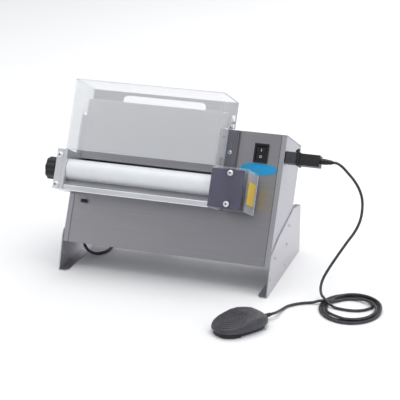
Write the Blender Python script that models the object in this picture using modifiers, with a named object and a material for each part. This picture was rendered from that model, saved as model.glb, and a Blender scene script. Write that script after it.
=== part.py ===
"""Tabletop dough sheeter with one roller pair, a clear guard and a foot pedal.

The head frame is tilted: its X runs along the rollers, its Y runs back into the
housing and its Z runs up the front panel. The feet, the pedal and the free cords
are placed in the upright frame. Units are metres.
"""

import math

import bmesh
import bpy
from mathutils import Euler, Matrix, Vector

# Overall driving dimensions
BODY_WIDTH = 0.440
BODY_DEPTH = 0.130
BODY_HEIGHT = 0.265
TILT = math.radians(26.5)
PANEL_LIFT = 0.057
SHEET = 0.0015
GAP = 0.0003
MACHINE_PLACE = Vector((0.0024, -0.0082, 0.0))

# Housing details
FLANGE = 0.010
REAR_FLANGE = 0.012
UPSTAND_HEIGHT = 0.034
UPSTAND_INSET = 0.0059
REAR_LOW_EDGE = 0.045
BOTTOM_RECESS = 0.022
VENT_COUNT = 6

# Rollers and gears
ROLLER_RADIUS = 0.0205
NIP = 0.001
NIP_TRAVEL = 0.0035
ROLLER_LEFT = -BODY_WIDTH / 2 + 0.0100
ROLLER_RIGHT = BODY_WIDTH / 2 - 0.1225
FRONT_AXIS_Y = -0.0475
ROLLER_Z = BODY_HEIGHT - 0.1205
SHAFT_RADIUS = 0.006
ROLLER_TEETH = 21
DRIVE_TEETH = 30
DRIVE_ANGLE = math.radians(30.0)
GEAR_WIDTH = 0.012
REAR_AXIS_Y = FRONT_AXIS_Y + 2 * ROLLER_RADIUS + NIP
MODULE = (REAR_AXIS_Y - FRONT_AXIS_Y) / ROLLER_TEETH

# Bearing blocks and the gear case
PLATE_THICK = 0.0078
BLOCK_LOW = ROLLER_Z - 0.0440
BLOCK_HIGH = ROLLER_Z + 0.0370
BLOCK_FRONT = -0.0700
BLOCK_OUTER = -BODY_WIDTH / 2 - 0.0122
CASE_WIDTH = 0.074
CASE_ROOM = 0.0047
CASE_FRONT = FRONT_AXIS_Y - NIP_TRAVEL - MODULE * (ROLLER_TEETH / 2 + 1) - CASE_ROOM
CARRIER_HALF = 0.0155
CARRIER_HIGH = 0.0105
CAM_RADIUS = 0.005
CAM_SWEEP = math.radians(240.0)

# Knob
KNOB_RADIUS = 0.0232
KNOB_LENGTH = 0.020
KNOB_LOBES = 8

# Guard
GUARD_WALL = 0.003
GUARD_LEFT = -BODY_WIDTH / 2 + 0.0016
GUARD_RIGHT = BODY_WIDTH / 2 - 0.1202
GUARD_FRONT = -0.0686
GUARD_REAR = 0.0400
GUARD_LOW = BLOCK_HIGH + 0.0010
GUARD_HIGH = BODY_HEIGHT + 0.0618
HINGE_Y = 0.028
HINGE_Z = BODY_HEIGHT + 0.0190
PIN_RADIUS = 0.003

# Switch and pedal socket
SWITCH_X = BODY_WIDTH / 2 - 0.0484
SWITCH_Z = BODY_HEIGHT - 0.0411
SWITCH_WIDE = 0.029
SWITCH_TALL = 0.0392
ROCKER_WIDE = 0.0196
ROCKER_TALL = 0.0270
SOCKET_Y = 0.0155
SOCKET_Z = BODY_HEIGHT - 0.0428

# Feet, in the upright frame
FOOT_SHEET = 0.002
FOOT_FLANGE = 0.020
FOOT_FRONT = -0.0225
FOOT_REAR = 0.236

# Motor
MOTOR_RADIUS = 0.033
MOTOR_LENGTH = 0.130
GEARBOX_LENGTH = 0.048

# Pedal, in its own frame: X to the heel, where the cord leaves
PEDAL_OFFSET = Vector((-0.1042, -0.2795, 0.0))
PEDAL_HEADING = math.radians(53.0)
PEDAL_LENGTH = 0.113
PEDAL_WIDTH = 0.073
PEDAL_WALL = 0.002
PEDAL_PIN_X = 0.043
PEDAL_PIN_Z = 0.0135

# Cords
PEDAL_CORD = 0.0054
MAINS_CORD = 0.0064

collection = bpy.data.collections.new("dough_sheeter")
cutters = bpy.data.collections.new("cutters")


def linear(hex_colour):
    """sRGB hex to linear RGBA."""
    channels = [int(hex_colour[i:i + 2], 16) / 255 for i in (0, 2, 4)]
    return [c / 12.92 if c <= 0.04045 else ((c + 0.055) / 1.055) ** 2.4 for c in channels] + [1.0]


def finish(name, hex_colour, metallic=0.0, roughness=0.5, alpha=1.0):
    """A plain Principled material."""
    material = bpy.data.materials.new(name)
    material.use_nodes = True
    shader = material.node_tree.nodes["Principled BSDF"]
    shader.inputs["Base Color"].default_value = linear(hex_colour)
    shader.inputs["Metallic"].default_value = metallic
    shader.inputs["Roughness"].default_value = roughness
    shader.inputs["Alpha"].default_value = alpha
    return material


def add_empty(name, place, turn=(0.0, 0.0, 0.0), parent=None):
    """An empty that carries a frame."""
    empty = bpy.data.objects.new(name, None)
    empty.location = place
    empty.rotation_euler = turn
    empty.parent = parent
    collection.objects.link(empty)
    return empty


def add_mesh(name, mesh, material, parent, place=(0.0, 0.0, 0.0), turn=(0.0, 0.0, 0.0)):
    """Links a mesh object into the part's collection."""
    obj = bpy.data.objects.new(name, mesh)
    obj.location = place
    obj.rotation_euler = turn
    obj.parent = parent
    mesh.materials.clear()
    mesh.materials.append(material)
    collection.objects.link(obj)
    return obj


def mesh_from(bm, name):
    """Finishes a bmesh into a mesh with outward faces."""
    bmesh.ops.recalc_face_normals(bm, faces=bm.faces)
    mesh = bpy.data.meshes.new(name)
    bm.to_mesh(mesh)
    bm.free()
    return mesh


def box_bm(low, high):
    """A box between two corners."""
    bm = bmesh.new()
    bmesh.ops.create_cube(bm, size=1.0)
    size = Vector(high) - Vector(low)
    centre = (Vector(high) + Vector(low)) / 2
    bmesh.ops.transform(bm, matrix=Matrix.Translation(centre) @ Matrix.Diagonal((*size, 1.0)), verts=bm.verts)
    return bm


def box(name, low, high, material, parent, bevel=0.0, **place):
    """A box object, with small rounded edges where asked."""
    obj = add_mesh(name, mesh_from(box_bm(low, high), name), material, parent, **place)
    if bevel:
        modifier = obj.modifiers.new("edges", "BEVEL")
        modifier.width = bevel
        modifier.segments = 1
    return obj


def boxes(name, pairs, material, parent, **place):
    """Several separate boxes in one object."""
    joined = bmesh.new()
    for low, high in pairs:
        single = box_bm(low, high)
        mesh = bpy.data.meshes.new("part_of_" + name)
        single.to_mesh(mesh)
        single.free()
        joined.from_mesh(mesh)
        bpy.data.meshes.remove(mesh)
    return add_mesh(name, mesh_from(joined, name), material, parent, **place)


AXIS_TURN = {
    "x": (0.0, math.pi / 2, 0.0),
    "-x": (0.0, -math.pi / 2, 0.0),
    "y": (-math.pi / 2, 0.0, 0.0),
    "-y": (math.pi / 2, 0.0, 0.0),
    "z": (0.0, 0.0, 0.0),
}


def turned(name, profile, material, parent, axis="x", sides=24, place=(0.0, 0.0, 0.0)):
    """Turned piece: (radius, along) pairs that run up the outer side, spun by a Screw modifier.

    A profile with no zero radius is closed on itself and makes a tube.
    """
    bm = bmesh.new()
    verts = [bm.verts.new((radius, 0.0, along)) for radius, along in reversed(profile)]
    closed = verts[1:] + verts[:1] if profile[0][0] > 0.0 else verts[1:]
    for pair in zip(verts, closed):
        bm.edges.new(pair)
    mesh = bpy.data.meshes.new(name)
    bm.to_mesh(mesh)
    bm.free()
    obj = add_mesh(name, mesh, material, parent, place, AXIS_TURN[axis])
    spin = obj.modifiers.new("spin", "SCREW")
    spin.steps = sides
    spin.render_steps = sides
    spin.use_merge_vertices = True
    spin.merge_threshold = 0.00001
    spin.use_smooth_shade = True
    return obj


def baked(obj):
    """The object's finished mesh in its own frame; the object itself is removed."""
    graph = bpy.context.evaluated_depsgraph_get()
    mesh = bpy.data.meshes.new_from_object(obj.evaluated_get(graph))
    bpy.data.objects.remove(obj)
    return mesh


def copies(names, mesh, spots, material, parent, turn=(0.0, 0.0, 0.0)):
    """One object for each identical piece, all sharing a mesh."""
    return [add_mesh(name, mesh, material, parent, spot, turn) for name, spot in zip(names, spots)]


def rod(name, radius, start, end, material, parent, axis="x", sides=24, places=((0.0, 0.0, 0.0),),
        place=(0.0, 0.0, 0.0)):
    """Plain round bars, one at each of the places."""
    bm = bmesh.new()
    turn = Euler(AXIS_TURN[axis]).to_matrix().to_4x4()
    for spot in places:
        matrix = Matrix.Translation(spot) @ turn @ Matrix.Translation((0.0, 0.0, (start + end) / 2))
        bmesh.ops.create_cone(bm, cap_ends=True, segments=sides, radius1=radius, radius2=radius,
                              depth=end - start, matrix=matrix)
    mesh = mesh_from(bm, name)
    mesh.shade_smooth()
    mesh.set_sharp_from_angle(angle=math.radians(40.0))
    return add_mesh(name, mesh, material, parent, place)


def bridge(bm, first, second):
    """Faces between two rings of a loft."""
    count = len(first)
    for i in range(count):
        j = (i + 1) % count
        bm.faces.new((first[i], first[j], second[j], second[i]))


def tube_profile(inner, outer, start, end):
    """Profile of a plain sleeve."""
    return [(inner, start), (outer, start), (outer, end), (inner, end)]


def circle(centre, radius, sides=12, start=0.0):
    """Points round a circle."""
    return [(centre[0] + radius * math.cos(start + 2 * math.pi * i / sides),
             centre[1] + radius * math.sin(start + 2 * math.pi * i / sides)) for i in range(sides)]


def rectangle(low, high):
    """Corner points of a rectangle."""
    return [(low[0], low[1]), (high[0], low[1]), (high[0], high[1]), (low[0], high[1])]


def slot_outline(low, high):
    """A vertical slot with round ends."""
    radius = (high[0] - low[0]) / 2
    middle = (low[0] + high[0]) / 2
    points = [(middle + radius * math.cos(a), high[1] - radius + radius * math.sin(a))
              for a in (math.pi * i / 4 for i in range(5))]
    points += [(middle + radius * math.cos(a), low[1] + radius + radius * math.sin(a))
               for a in (math.pi * i / 4 for i in range(4, 9))]
    return points


PLANE = {
    "yz": Matrix(((0, 0, 1, 0), (1, 0, 0, 0), (0, 1, 0, 0), (0, 0, 0, 1))),
    "xz": Matrix(((1, 0, 0, 0), (0, 0, -1, 0), (0, 1, 0, 0), (0, 0, 0, 1))),
    "xy": Matrix.Identity(4),
}


def plate_mesh(name, plane, outlines, low, high):
    """A flat plate from a 2D curve: the first outline is its edge, the others are holes."""
    curve = bpy.data.curves.new(name, "CURVE")
    curve.dimensions = "2D"
    curve.fill_mode = "BOTH"
    curve.extrude = (high - low) / 2
    for outline in outlines:
        spline = curve.splines.new("POLY")
        spline.points.add(len(outline) - 1)
        for point, (across, up) in zip(spline.points, outline):
            point.co = (across, up, 0.0, 1.0)
        spline.use_cyclic_u = True
    holder = bpy.data.objects.new(name, curve)
    bpy.context.scene.collection.objects.link(holder)
    graph = bpy.context.evaluated_depsgraph_get()
    mesh = bpy.data.meshes.new_from_object(holder.evaluated_get(graph))
    bpy.data.objects.remove(holder)
    bm = bmesh.new()
    bm.from_mesh(mesh)
    bmesh.ops.remove_doubles(bm, verts=bm.verts, dist=0.00001)
    middle = (low + high) / 2
    shift = Vector((0.0, 0.0, -middle if plane == "xz" else middle))
    bmesh.ops.transform(bm, matrix=PLANE[plane] @ Matrix.Translation(shift), verts=bm.verts)
    bmesh.ops.recalc_face_normals(bm, faces=bm.faces)
    bm.to_mesh(mesh)
    bm.free()
    return mesh


def plate(name, plane, outlines, low, high, material, parent, **place):
    """A plate object; low and high bound it across its plane."""
    return add_mesh(name, plate_mesh(name, plane, outlines, low, high), material, parent, **place)


def folded_sheet(name, path, low, high, material, parent, thickness=SHEET, along="z"):
    """Bent sheet: a mid-surface path swept along an axis, then thickened."""
    bm = bmesh.new()
    verts = []
    for first, second in path:
        start = (first, second, low) if along == "z" else (low, first, second)
        verts.append(bm.verts.new(start))
    edges = [bm.edges.new(pair) for pair in zip(verts, verts[1:])]
    moved = bmesh.ops.extrude_edge_only(bm, edges=edges)
    step = (0.0, 0.0, high - low) if along == "z" else (high - low, 0.0, 0.0)
    fresh = [item for item in moved["geom"] if isinstance(item, bmesh.types.BMVert)]
    bmesh.ops.translate(bm, verts=fresh, vec=step)
    obj = add_mesh(name, mesh_from(bm, name), material, parent)
    solid = obj.modifiers.new("sheet", "SOLIDIFY")
    solid.thickness = thickness
    solid.offset = 0.0
    solid.use_even_offset = True
    return obj


def combine(obj, other, operation):
    """Boolean with an object that is then kept only as a cutter."""
    collection.objects.unlink(other)
    cutters.objects.link(other)
    other.hide_render = True
    other.display_type = "WIRE"
    modifier = obj.modifiers.new(operation.lower(), "BOOLEAN")
    modifier.operation = operation
    modifier.object = other
    modifier.solver = "EXACT"


def bend_radius_points(corner, before, after, radius, steps):
    """Points of an arc that rounds a corner of a path."""
    corner = Vector(corner)
    start = (Vector(before) - corner).normalized()
    end = (Vector(after) - corner).normalized()
    half = start.angle(end) / 2
    centre = corner + (start + end).normalized() * radius / math.sin(half)
    first = corner + start * radius / math.tan(half)
    last = corner + end * radius / math.tan(half)
    points = []
    for i in range(steps + 1):
        share = i / steps
        arm = (first - centre).lerp(last - centre, share).normalized() * radius
        points.append(tuple(centre + arm))
    return points


def gear_outline(teeth, phase):
    """Trapezoid teeth; phase is the angle of one tooth's middle."""
    pitch = MODULE * teeth / 2
    tip = pitch + 0.80 * MODULE
    root = pitch - 1.10 * MODULE
    step = 2 * math.pi / teeth
    points = []
    for i in range(teeth):
        middle = phase + i * step
        for radius, offset in ((root, -0.31), (tip, -0.12), (tip, 0.12), (root, 0.31)):
            angle = middle + offset * step
            points.append((radius * math.cos(angle), radius * math.sin(angle)))
    return points


def mesh_phase(phase, teeth, other_teeth, direction):
    """Phase of a gear that meshes with another one lying in the given direction from it."""
    step = 2 * math.pi / teeth
    lag = (phase - direction + step / 2) % step - step / 2
    gap = direction + math.pi - lag * teeth / other_teeth
    return gap + math.pi / other_teeth


def gear(name, teeth, phase, start, material, parent, place, bored=True):
    """A spur gear on an X axis through its own origin."""
    outlines = [gear_outline(teeth, phase)]
    if bored:
        outlines.append(circle((0.0, 0.0), SHAFT_RADIUS + GAP, 24))
    return plate(name, "yz", outlines, start, start + GEAR_WIDTH, material, parent, place=place)


def blend(p, q, start, end, t):
    """Linear blend of two points over a span of the curve's parameter."""
    return p * ((end - t) / (end - start)) + q * ((t - start) / (end - start))


def smooth_route(points, spacing):
    """Evenly spaced points on a centripetal Catmull-Rom curve through the given ones."""
    dense = []
    guides = [2 * points[0] - points[1]] + points + [2 * points[-1] - points[-2]]
    for a, b, c, d in zip(guides, guides[1:], guides[2:], guides[3:]):
        k0 = 0.0
        k1 = k0 + math.sqrt((b - a).length)
        k2 = k1 + math.sqrt((c - b).length)
        k3 = k2 + math.sqrt((d - c).length)
        for i in range(16):
            t = k1 + (k2 - k1) * i / 16
            ab, bc, cd = blend(a, b, k0, k1, t), blend(b, c, k1, k2, t), blend(c, d, k2, k3, t)
            dense.append(blend(blend(ab, bc, k0, k2, t), blend(bc, cd, k1, k3, t), k1, k2, t))
    dense.append(points[-1])
    lengths = [0.0]
    for first, second in zip(dense, dense[1:]):
        lengths.append(lengths[-1] + (second - first).length)
    count = max(2, round(lengths[-1] / spacing))
    route = []
    index = 0
    for i in range(count + 1):
        target = lengths[-1] * i / count
        while index < len(lengths) - 2 and lengths[index + 1] < target:
            index += 1
        share = (target - lengths[index]) / (lengths[index + 1] - lengths[index])
        route.append(dense[index].lerp(dense[index + 1], min(share, 1.0)))
    return route


def wire(name, points, diameter, material, parent, bevel_resolution=2):
    """A round tube along a list of points."""
    curve = bpy.data.curves.new(name, "CURVE")
    curve.dimensions = "3D"
    curve.bevel_depth = diameter / 2
    curve.bevel_resolution = bevel_resolution
    curve.use_fill_caps = True
    spline = curve.splines.new("POLY")
    spline.points.add(len(points) - 1)
    for point, spot in zip(spline.points, points):
        point.co = (*spot, 1.0)
    curve.materials.append(material)
    obj = bpy.data.objects.new(name, curve)
    obj.parent = parent
    collection.objects.link(obj)
    return obj


def screw_mesh(head, shank, length):
    """Button-head screw along Z with its head's underside at the origin."""
    profile = [(0.0, -length), (shank, -length), (shank, 0.0), (head, 0.0), (head, head * 0.35),
               (head * 0.62, head * 0.62), (0.0, head * 0.62)]
    return baked(turned("screw", profile, bpy.data.materials["bright_steel"], None, "z", 16))


def side_panels(head, metal):
    """Left and right side sheets with front and rear return flanges and a sloping low edge."""
    half = BODY_WIDTH / 2 - SHEET / 2
    front = -SHEET / 2 - GAP
    rear = BODY_DEPTH - SHEET / 2
    for side, word in ((-1, "left"), (1, "right")):
        path = [(side * (half + SHEET / 2 - FLANGE), front), (side * half, front),
                (side * half, rear), (side * (half + SHEET / 2 - REAR_FLANGE), rear)]
        panel = folded_sheet(f"side_panel_{word}", path, 0.0, BODY_HEIGHT - SHEET - GAP, metal, head)
        slope = [(-0.010, -0.010), (BODY_DEPTH + 0.010, -0.010),
                 (BODY_DEPTH + 0.010, REAR_LOW_EDGE * (1 + 0.010 / BODY_DEPTH)), (0.0, 0.0), (-0.010, -0.003)]
        low, high = sorted((side * (half - REAR_FLANGE - 0.005), side * (half + 0.005)))
        combine(panel, plate(f"cut_slope_{word}", "yz", [slope], low, high, metal, head), "DIFFERENCE")
        if side < 0:
            window = box("cut_window", (-BODY_WIDTH / 2 + SHEET + GAP / 2, -0.004, BLOCK_LOW - 0.001),
                         (-BODY_WIDTH / 2 + FLANGE + 0.002, 0.001, BLOCK_HIGH + 0.001), metal, head)
            combine(panel, window, "DIFFERENCE")
        else:
            opening = box("cut_socket", (BODY_WIDTH / 2 - 0.003, SOCKET_Y - 0.0100, SOCKET_Z - 0.0082),
                          (BODY_WIDTH / 2 + 0.002, SOCKET_Y + 0.0100, SOCKET_Z + 0.0082), metal, head)
            combine(panel, opening, "DIFFERENCE")


def upright_from_head(x, y, z):
    """Upright-frame point of a point given in the head frame."""
    return Matrix.Rotation(-TILT, 3, "X") @ Vector((x, y, z)) + Vector((0.0, 0.0, PANEL_LIFT))


FOOT_HOLES = ((0.1150, 0.0150), (0.0025, 0.0300))


def front_panel(head, metal):
    """Front sheet: low apron, roller opening, upper apron with a narrower upstand."""
    edge = BODY_WIDTH / 2 - SHEET - GAP
    top = BODY_HEIGHT
    up_left = GUARD_LEFT + GUARD_WALL + UPSTAND_INSET
    up_right = GUARD_RIGHT - GUARD_WALL - UPSTAND_INSET
    window_low, window_high = BLOCK_LOW - 0.001, BLOCK_HIGH + 0.001
    mouth_low, mouth_high = ROLLER_Z - 0.0265, ROLLER_Z + 0.030
    plate_left = ROLLER_LEFT - 0.0001
    plate_right = ROLLER_RIGHT + 0.0009
    bearing_right = plate_right + PLATE_THICK + 0.0008
    gear_right = bearing_right + 0.0210
    outline = [(-edge, 0.0), (edge, 0.0), (edge, top), (up_right, top), (up_right, top + UPSTAND_HEIGHT),
               (up_left, top + UPSTAND_HEIGHT), (up_left, top), (-edge, top), (-edge, window_high),
               (plate_left, window_high), (plate_left, mouth_high), (plate_right, mouth_high),
               (plate_right, window_high), (bearing_right, window_high), (bearing_right, mouth_high),
               (gear_right, mouth_high), (gear_right, mouth_low - 0.003), (bearing_right, mouth_low - 0.003),
               (bearing_right, window_low), (plate_right, window_low), (plate_right, mouth_low),
               (plate_left, mouth_low), (plate_left, window_low), (-edge, window_low)]
    cutout = rectangle((SWITCH_X - SWITCH_WIDE / 2 + 0.0022, SWITCH_Z - SWITCH_TALL / 2 + 0.0022),
                       (SWITCH_X + SWITCH_WIDE / 2 - 0.0022, SWITCH_Z + SWITCH_TALL / 2 - 0.0022))
    plate("front_panel", "xz", [outline, cutout], 0.0, SHEET, metal, head)




def covers(head, metal):
    """Top cover, rear cover with vents and the recessed bottom plate."""
    half = BODY_WIDTH / 2
    top_mid = BODY_HEIGHT - SHEET / 2
    rear_in = BODY_DEPTH - SHEET - GAP - SHEET / 2
    path = [(SHEET + GAP, top_mid), (BODY_DEPTH, top_mid)]
    folded_sheet("top_cover", path, -half, half, metal, head, along="x")
    low = REAR_LOW_EDGE + 0.001
    holes = []
    for i in range(VENT_COUNT):
        middle = -0.080 + 0.022 * i
        holes.append(slot_outline((middle - 0.003, 0.105), (middle + 0.003, 0.165)))
    outline = rectangle((-half + 0.0005, low), (half - 0.0005, BODY_HEIGHT))
    start = BODY_DEPTH + GAP
    plate("rear_cover", "xz", [outline] + holes, start, start + SHEET, metal, head)
    floor = add_empty("bottom_frame", (0.0, SHEET + GAP, BOTTOM_RECESS), (BOTTOM_SLOPE, 0.0, 0.0), head)
    deep = (rear_in - SHEET / 2 - SHEET - 2 * GAP) / math.cos(BOTTOM_SLOPE)
    edge = half - SHEET - GAP
    hole = circle((GLAND_X, GLAND_Y), GLAND_THREAD + GAP, 16)
    plate("bottom_plate", "xy", [rectangle((-edge, 0.001), (edge, deep)), hole], 0.0, SHEET, metal, floor)
    return floor


BOTTOM_SLOPE = math.atan2(REAR_LOW_EDGE, BODY_DEPTH)
GLAND_X = -BODY_WIDTH / 2 + 0.0176
GLAND_Y = 0.0600
GLAND_THREAD = 0.0055


def bearings(head, aluminium, pom):
    """End block, bearing plates and the sliding carriers of the front roller."""
    left_in = ROLLER_LEFT - 0.0004
    left_out = left_in - PLATE_THICK
    right_in = ROLLER_RIGHT + 0.0012
    right_out = right_in + PLATE_THICK
    slot_high = CARRIER_HIGH + GAP
    slot_front = FRONT_AXIS_Y - CARRIER_HALF - NIP_TRAVEL - 2 * GAP
    knob_y = (FRONT_AXIS_Y + REAR_AXIS_Y) / 2
    rear_end = 0.030
    bore = circle((REAR_AXIS_Y, ROLLER_Z), SHAFT_RADIUS + GAP, 24)
    left_slot = rectangle((slot_front, ROLLER_Z - slot_high),
                          (knob_y + CAM_RADIUS + NIP_TRAVEL + 2 * GAP, ROLLER_Z + slot_high))
    right_slot = rectangle((slot_front, ROLLER_Z - slot_high),
                           (FRONT_AXIS_Y + CARRIER_HALF + GAP, ROLLER_Z + slot_high))
    outline = rectangle((BLOCK_FRONT, BLOCK_LOW), (rear_end, BLOCK_HIGH))
    plate("bearing_plate_left", "yz", [outline, bore, left_slot], left_out, left_in, aluminium, head)
    outline = rectangle((CASE_FRONT + 0.0050, BLOCK_LOW), (rear_end, BLOCK_HIGH - 0.0030))
    plate("bearing_plate_right", "yz", [outline, bore, right_slot], right_in, right_out, aluminium, head)
    outline = rectangle((BLOCK_FRONT, BLOCK_LOW), (-SHEET - 2 * GAP, BLOCK_HIGH))
    shaft_hole = circle((knob_y, ROLLER_Z), KNOB_SHAFT + GAP, 16)
    block = plate("end_block_left", "yz", [outline, shaft_hole], BLOCK_OUTER, left_out - GAP, aluminium, head)
    threads = rod("cut_block_threads", BLOCK_SHANK + GAP, BLOCK_FRONT - 0.001, BLOCK_FRONT + BLOCK_LENGTH + 0.001,
                  aluminium, head, axis="y", sides=10, places=[(BLOCK_SCREW_X, 0.0, z) for z in BLOCK_SCREW_Z])
    combine(block, threads, "DIFFERENCE")
    wide = PLATE_THICK - 2 * GAP
    outline = rectangle((-CARRIER_HALF, -CARRIER_HIGH), (CARRIER_HALF, CARRIER_HIGH))
    hole = circle((0.0, 0.0), SHAFT_RADIUS + GAP, 24)
    carrier = plate_mesh("carrier", "yz", [outline, hole], 0.0, wide)
    spots = [(low, FRONT_AXIS_Y, ROLLER_Z) for low in (left_out + GAP, right_in + GAP)]
    copies(("carrier_left", "carrier_right"), carrier, spots, pom, head)
    return left_out, left_in, right_in, right_out, knob_y


KNOB_SHAFT = 0.004
BLOCK_SCREW_X = -BODY_WIDTH / 2 - 0.0054
BLOCK_SCREW_Z = (ROLLER_Z - 0.0365, ROLLER_Z + 0.0245)
BLOCK_SHANK = 0.0025
BLOCK_HEAD = 0.0048
BLOCK_LENGTH = 0.013


def cam_outline():
    """Spiral cam whose radius grows evenly with the knob's turn, lowest towards the front."""
    points = []
    steps = 30
    for i in range(steps):
        turn = 2 * math.pi * i / steps
        if turn <= CAM_SWEEP:
            radius = CAM_RADIUS + NIP_TRAVEL * turn / CAM_SWEEP
        else:
            share = (turn - CAM_SWEEP) / (2 * math.pi - CAM_SWEEP)
            radius = CAM_RADIUS + NIP_TRAVEL * (1 - share)
        angle = math.pi - turn
        points.append((radius * math.cos(angle), radius * math.sin(angle)))
    return points


def knob_outline():
    """Lobed grip outline."""
    points = []
    steps = KNOB_LOBES * 6
    for i in range(steps):
        angle = 2 * math.pi * i / steps
        radius = KNOB_RADIUS - 0.0022 * (1 - abs(math.cos(angle * KNOB_LOBES / 2)))
        points.append((radius * math.cos(angle), radius * math.sin(angle)))
    return points


def adjuster(head, steel, black, left_out, left_in, knob_y):
    """Knob, its shaft and the spiral cam that moves the front roller's carrier."""
    centre = (0.0, knob_y, ROLLER_Z)
    outer = BLOCK_OUTER - 0.0012
    hub = outer - 0.0100
    end = hub - KNOB_LENGTH
    shaft = rod("adjuster_shaft", KNOB_SHAFT, outer - 0.015, left_in - 0.0006, steel, head, sides=16, place=centre)
    combine(shaft, plate("join_cam", "yz", [cam_outline()], left_out + 0.0006, left_in - 0.0008, steel, head,
                         place=centre), "UNION")
    grip = plate("adjuster_knob", "yz", [knob_outline()], end, hub, black, head, place=centre)
    edges = grip.modifiers.new("edges", "BEVEL")
    edges.width = 0.002
    edges.segments = 1
    edges.limit_method = "ANGLE"
    edges.angle_limit = math.radians(60.0)
    combine(grip, rod("join_knob_hub", 0.0125, hub - 0.003, outer, black, head, sides=20, place=centre), "UNION")
    combine(grip, rod("cut_knob_bore", KNOB_SHAFT + GAP, outer - 0.016, outer + 0.001, black, head, sides=16,
                      place=centre), "DIFFERENCE")


def rollers(head, pom, steel, left_out, right_out):
    """Rollers on their shafts and the gears at the right-hand end."""
    sleeve = tube_profile(SHAFT_RADIUS + GAP, ROLLER_RADIUS, ROLLER_LEFT, ROLLER_RIGHT)
    gear_start = right_out + 0.0033
    shaft_end = gear_start + GEAR_WIDTH + 0.004
    front_phase = 0.0
    rear_phase = mesh_phase(front_phase, ROLLER_TEETH, ROLLER_TEETH, 0.0)
    toward_drive = -DRIVE_ANGLE
    drive_phase = mesh_phase(rear_phase, ROLLER_TEETH, DRIVE_TEETH, toward_drive)
    for which, axis_y, phase in (("front", FRONT_AXIS_Y, front_phase), ("rear", REAR_AXIS_Y, rear_phase)):
        centre = (0.0, axis_y, ROLLER_Z)
        turned(f"{which}_roller", sleeve, pom, head, sides=48, place=centre)
        rod(f"{which}_shaft", SHAFT_RADIUS, left_out + 0.0003, shaft_end, steel, head, place=centre)
        gear(f"{which}_gear", ROLLER_TEETH, phase, gear_start, steel, head, centre)
    reach = MODULE * (ROLLER_TEETH + DRIVE_TEETH) / 2
    drive = (0.0, REAR_AXIS_Y + reach * math.cos(toward_drive), ROLLER_Z + reach * math.sin(toward_drive))
    return drive, drive_phase, gear_start, shaft_end


def drive_unit(head, steel, grey, black, board, drive, drive_phase, gear_start, right_in, shaft_end):
    """Gearbox with its output gear, motor, fan, the bracket that holds them and the control board."""
    box_right = right_in - 0.0042
    box_left = box_right - GEARBOX_LENGTH
    low_y = drive[1] - 0.0180
    centre_y = low_y + 0.0400
    centre_z = drive[2] - 0.0015
    output = gear("drive_gear", DRIVE_TEETH, drive_phase, gear_start, steel, head, drive, bored=False)
    combine(output, rod("join_output_shaft", SHAFT_RADIUS, box_right + GAP, shaft_end, steel, head, place=drive),
            "UNION")
    box("gearbox", (box_left, low_y, centre_z - 0.034), (box_right, low_y + 0.072, centre_z + 0.034), grey, head,
        bevel=0.003)
    motor_right = box_left - GAP
    motor_left = motor_right - MOTOR_LENGTH
    profile = [(0.0, motor_left), (MOTOR_RADIUS - 0.006, motor_left), (MOTOR_RADIUS, motor_left + 0.006),
               (MOTOR_RADIUS, motor_right), (0.0, motor_right)]
    centre = (0.0, centre_y, centre_z)
    turned("motor", profile, grey, head, place=centre)
    fan_left = motor_left - 0.016
    blades = []
    for i in range(FAN_BLADES):
        start = 2 * math.pi * i / FAN_BLADES
        for radius, offset in ((0.009, -0.20), (0.027, 0.10), (0.027, 0.30), (0.009, 0.20)):
            blades.append((radius * math.cos(start + offset), radius * math.sin(start + offset)))
    fan = plate("motor_fan", "yz", [blades], fan_left, fan_left + 0.010, black, head, place=centre)
    combine(fan, rod("join_motor_shaft", 0.004, fan_left - 0.001, motor_left - GAP, black, head, sides=16,
                     place=centre), "UNION")
    foot, ledge = ROLLER_Z - 0.0845, ROLLER_Z - ROLLER_RADIUS - 0.0120
    behind = REAR_AXIS_Y + ROLLER_RADIUS + 0.0040
    outline = [(SHEET + GAP, foot), (0.100, foot), (0.100, centre_z + 0.036), (behind, centre_z + 0.036),
               (behind, ledge), (SHEET + GAP, ledge)]
    hole = circle((drive[1], drive[2]), SHAFT_RADIUS + 0.001, 16)
    plate("drive_bracket", "yz", [outline, hole], box_right + 2 * GAP, box_right + 2 * GAP + 0.003, steel, head)
    front = BODY_DEPTH - 0.0250
    rear = front + 0.0016
    bite = 0.0005
    side, top = BODY_WIDTH / 2 - 0.0140, BODY_HEIGHT - 0.0900
    control = box("control_board", (side - 0.068, front, top - 0.085), (side, rear, top), board, head)
    pieces = [((side - 0.062, front - 0.015, top - 0.030), (side - 0.042, front + bite, top - 0.006)),
              ((side - 0.036, front - 0.017, top - 0.027), (side - 0.008, front + bite, top - 0.007)),
              ((side - 0.058, front - 0.013, top - 0.077), (side - 0.008, front + bite, top - 0.067)),
              ((side - 0.028, front - 0.009, top - 0.057), (side - 0.012, front + bite, top - 0.037))]
    for x in (side - 0.064, side - 0.004):
        for z in (top - 0.081, top - 0.004):
            pieces.append(((x - 0.002, rear - bite, z - 0.002), (x + 0.002, BODY_DEPTH, z + 0.002)))
    combine(control, boxes("join_board_pieces", pieces, board, head), "UNION")


FAN_BLADES = 7


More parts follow.
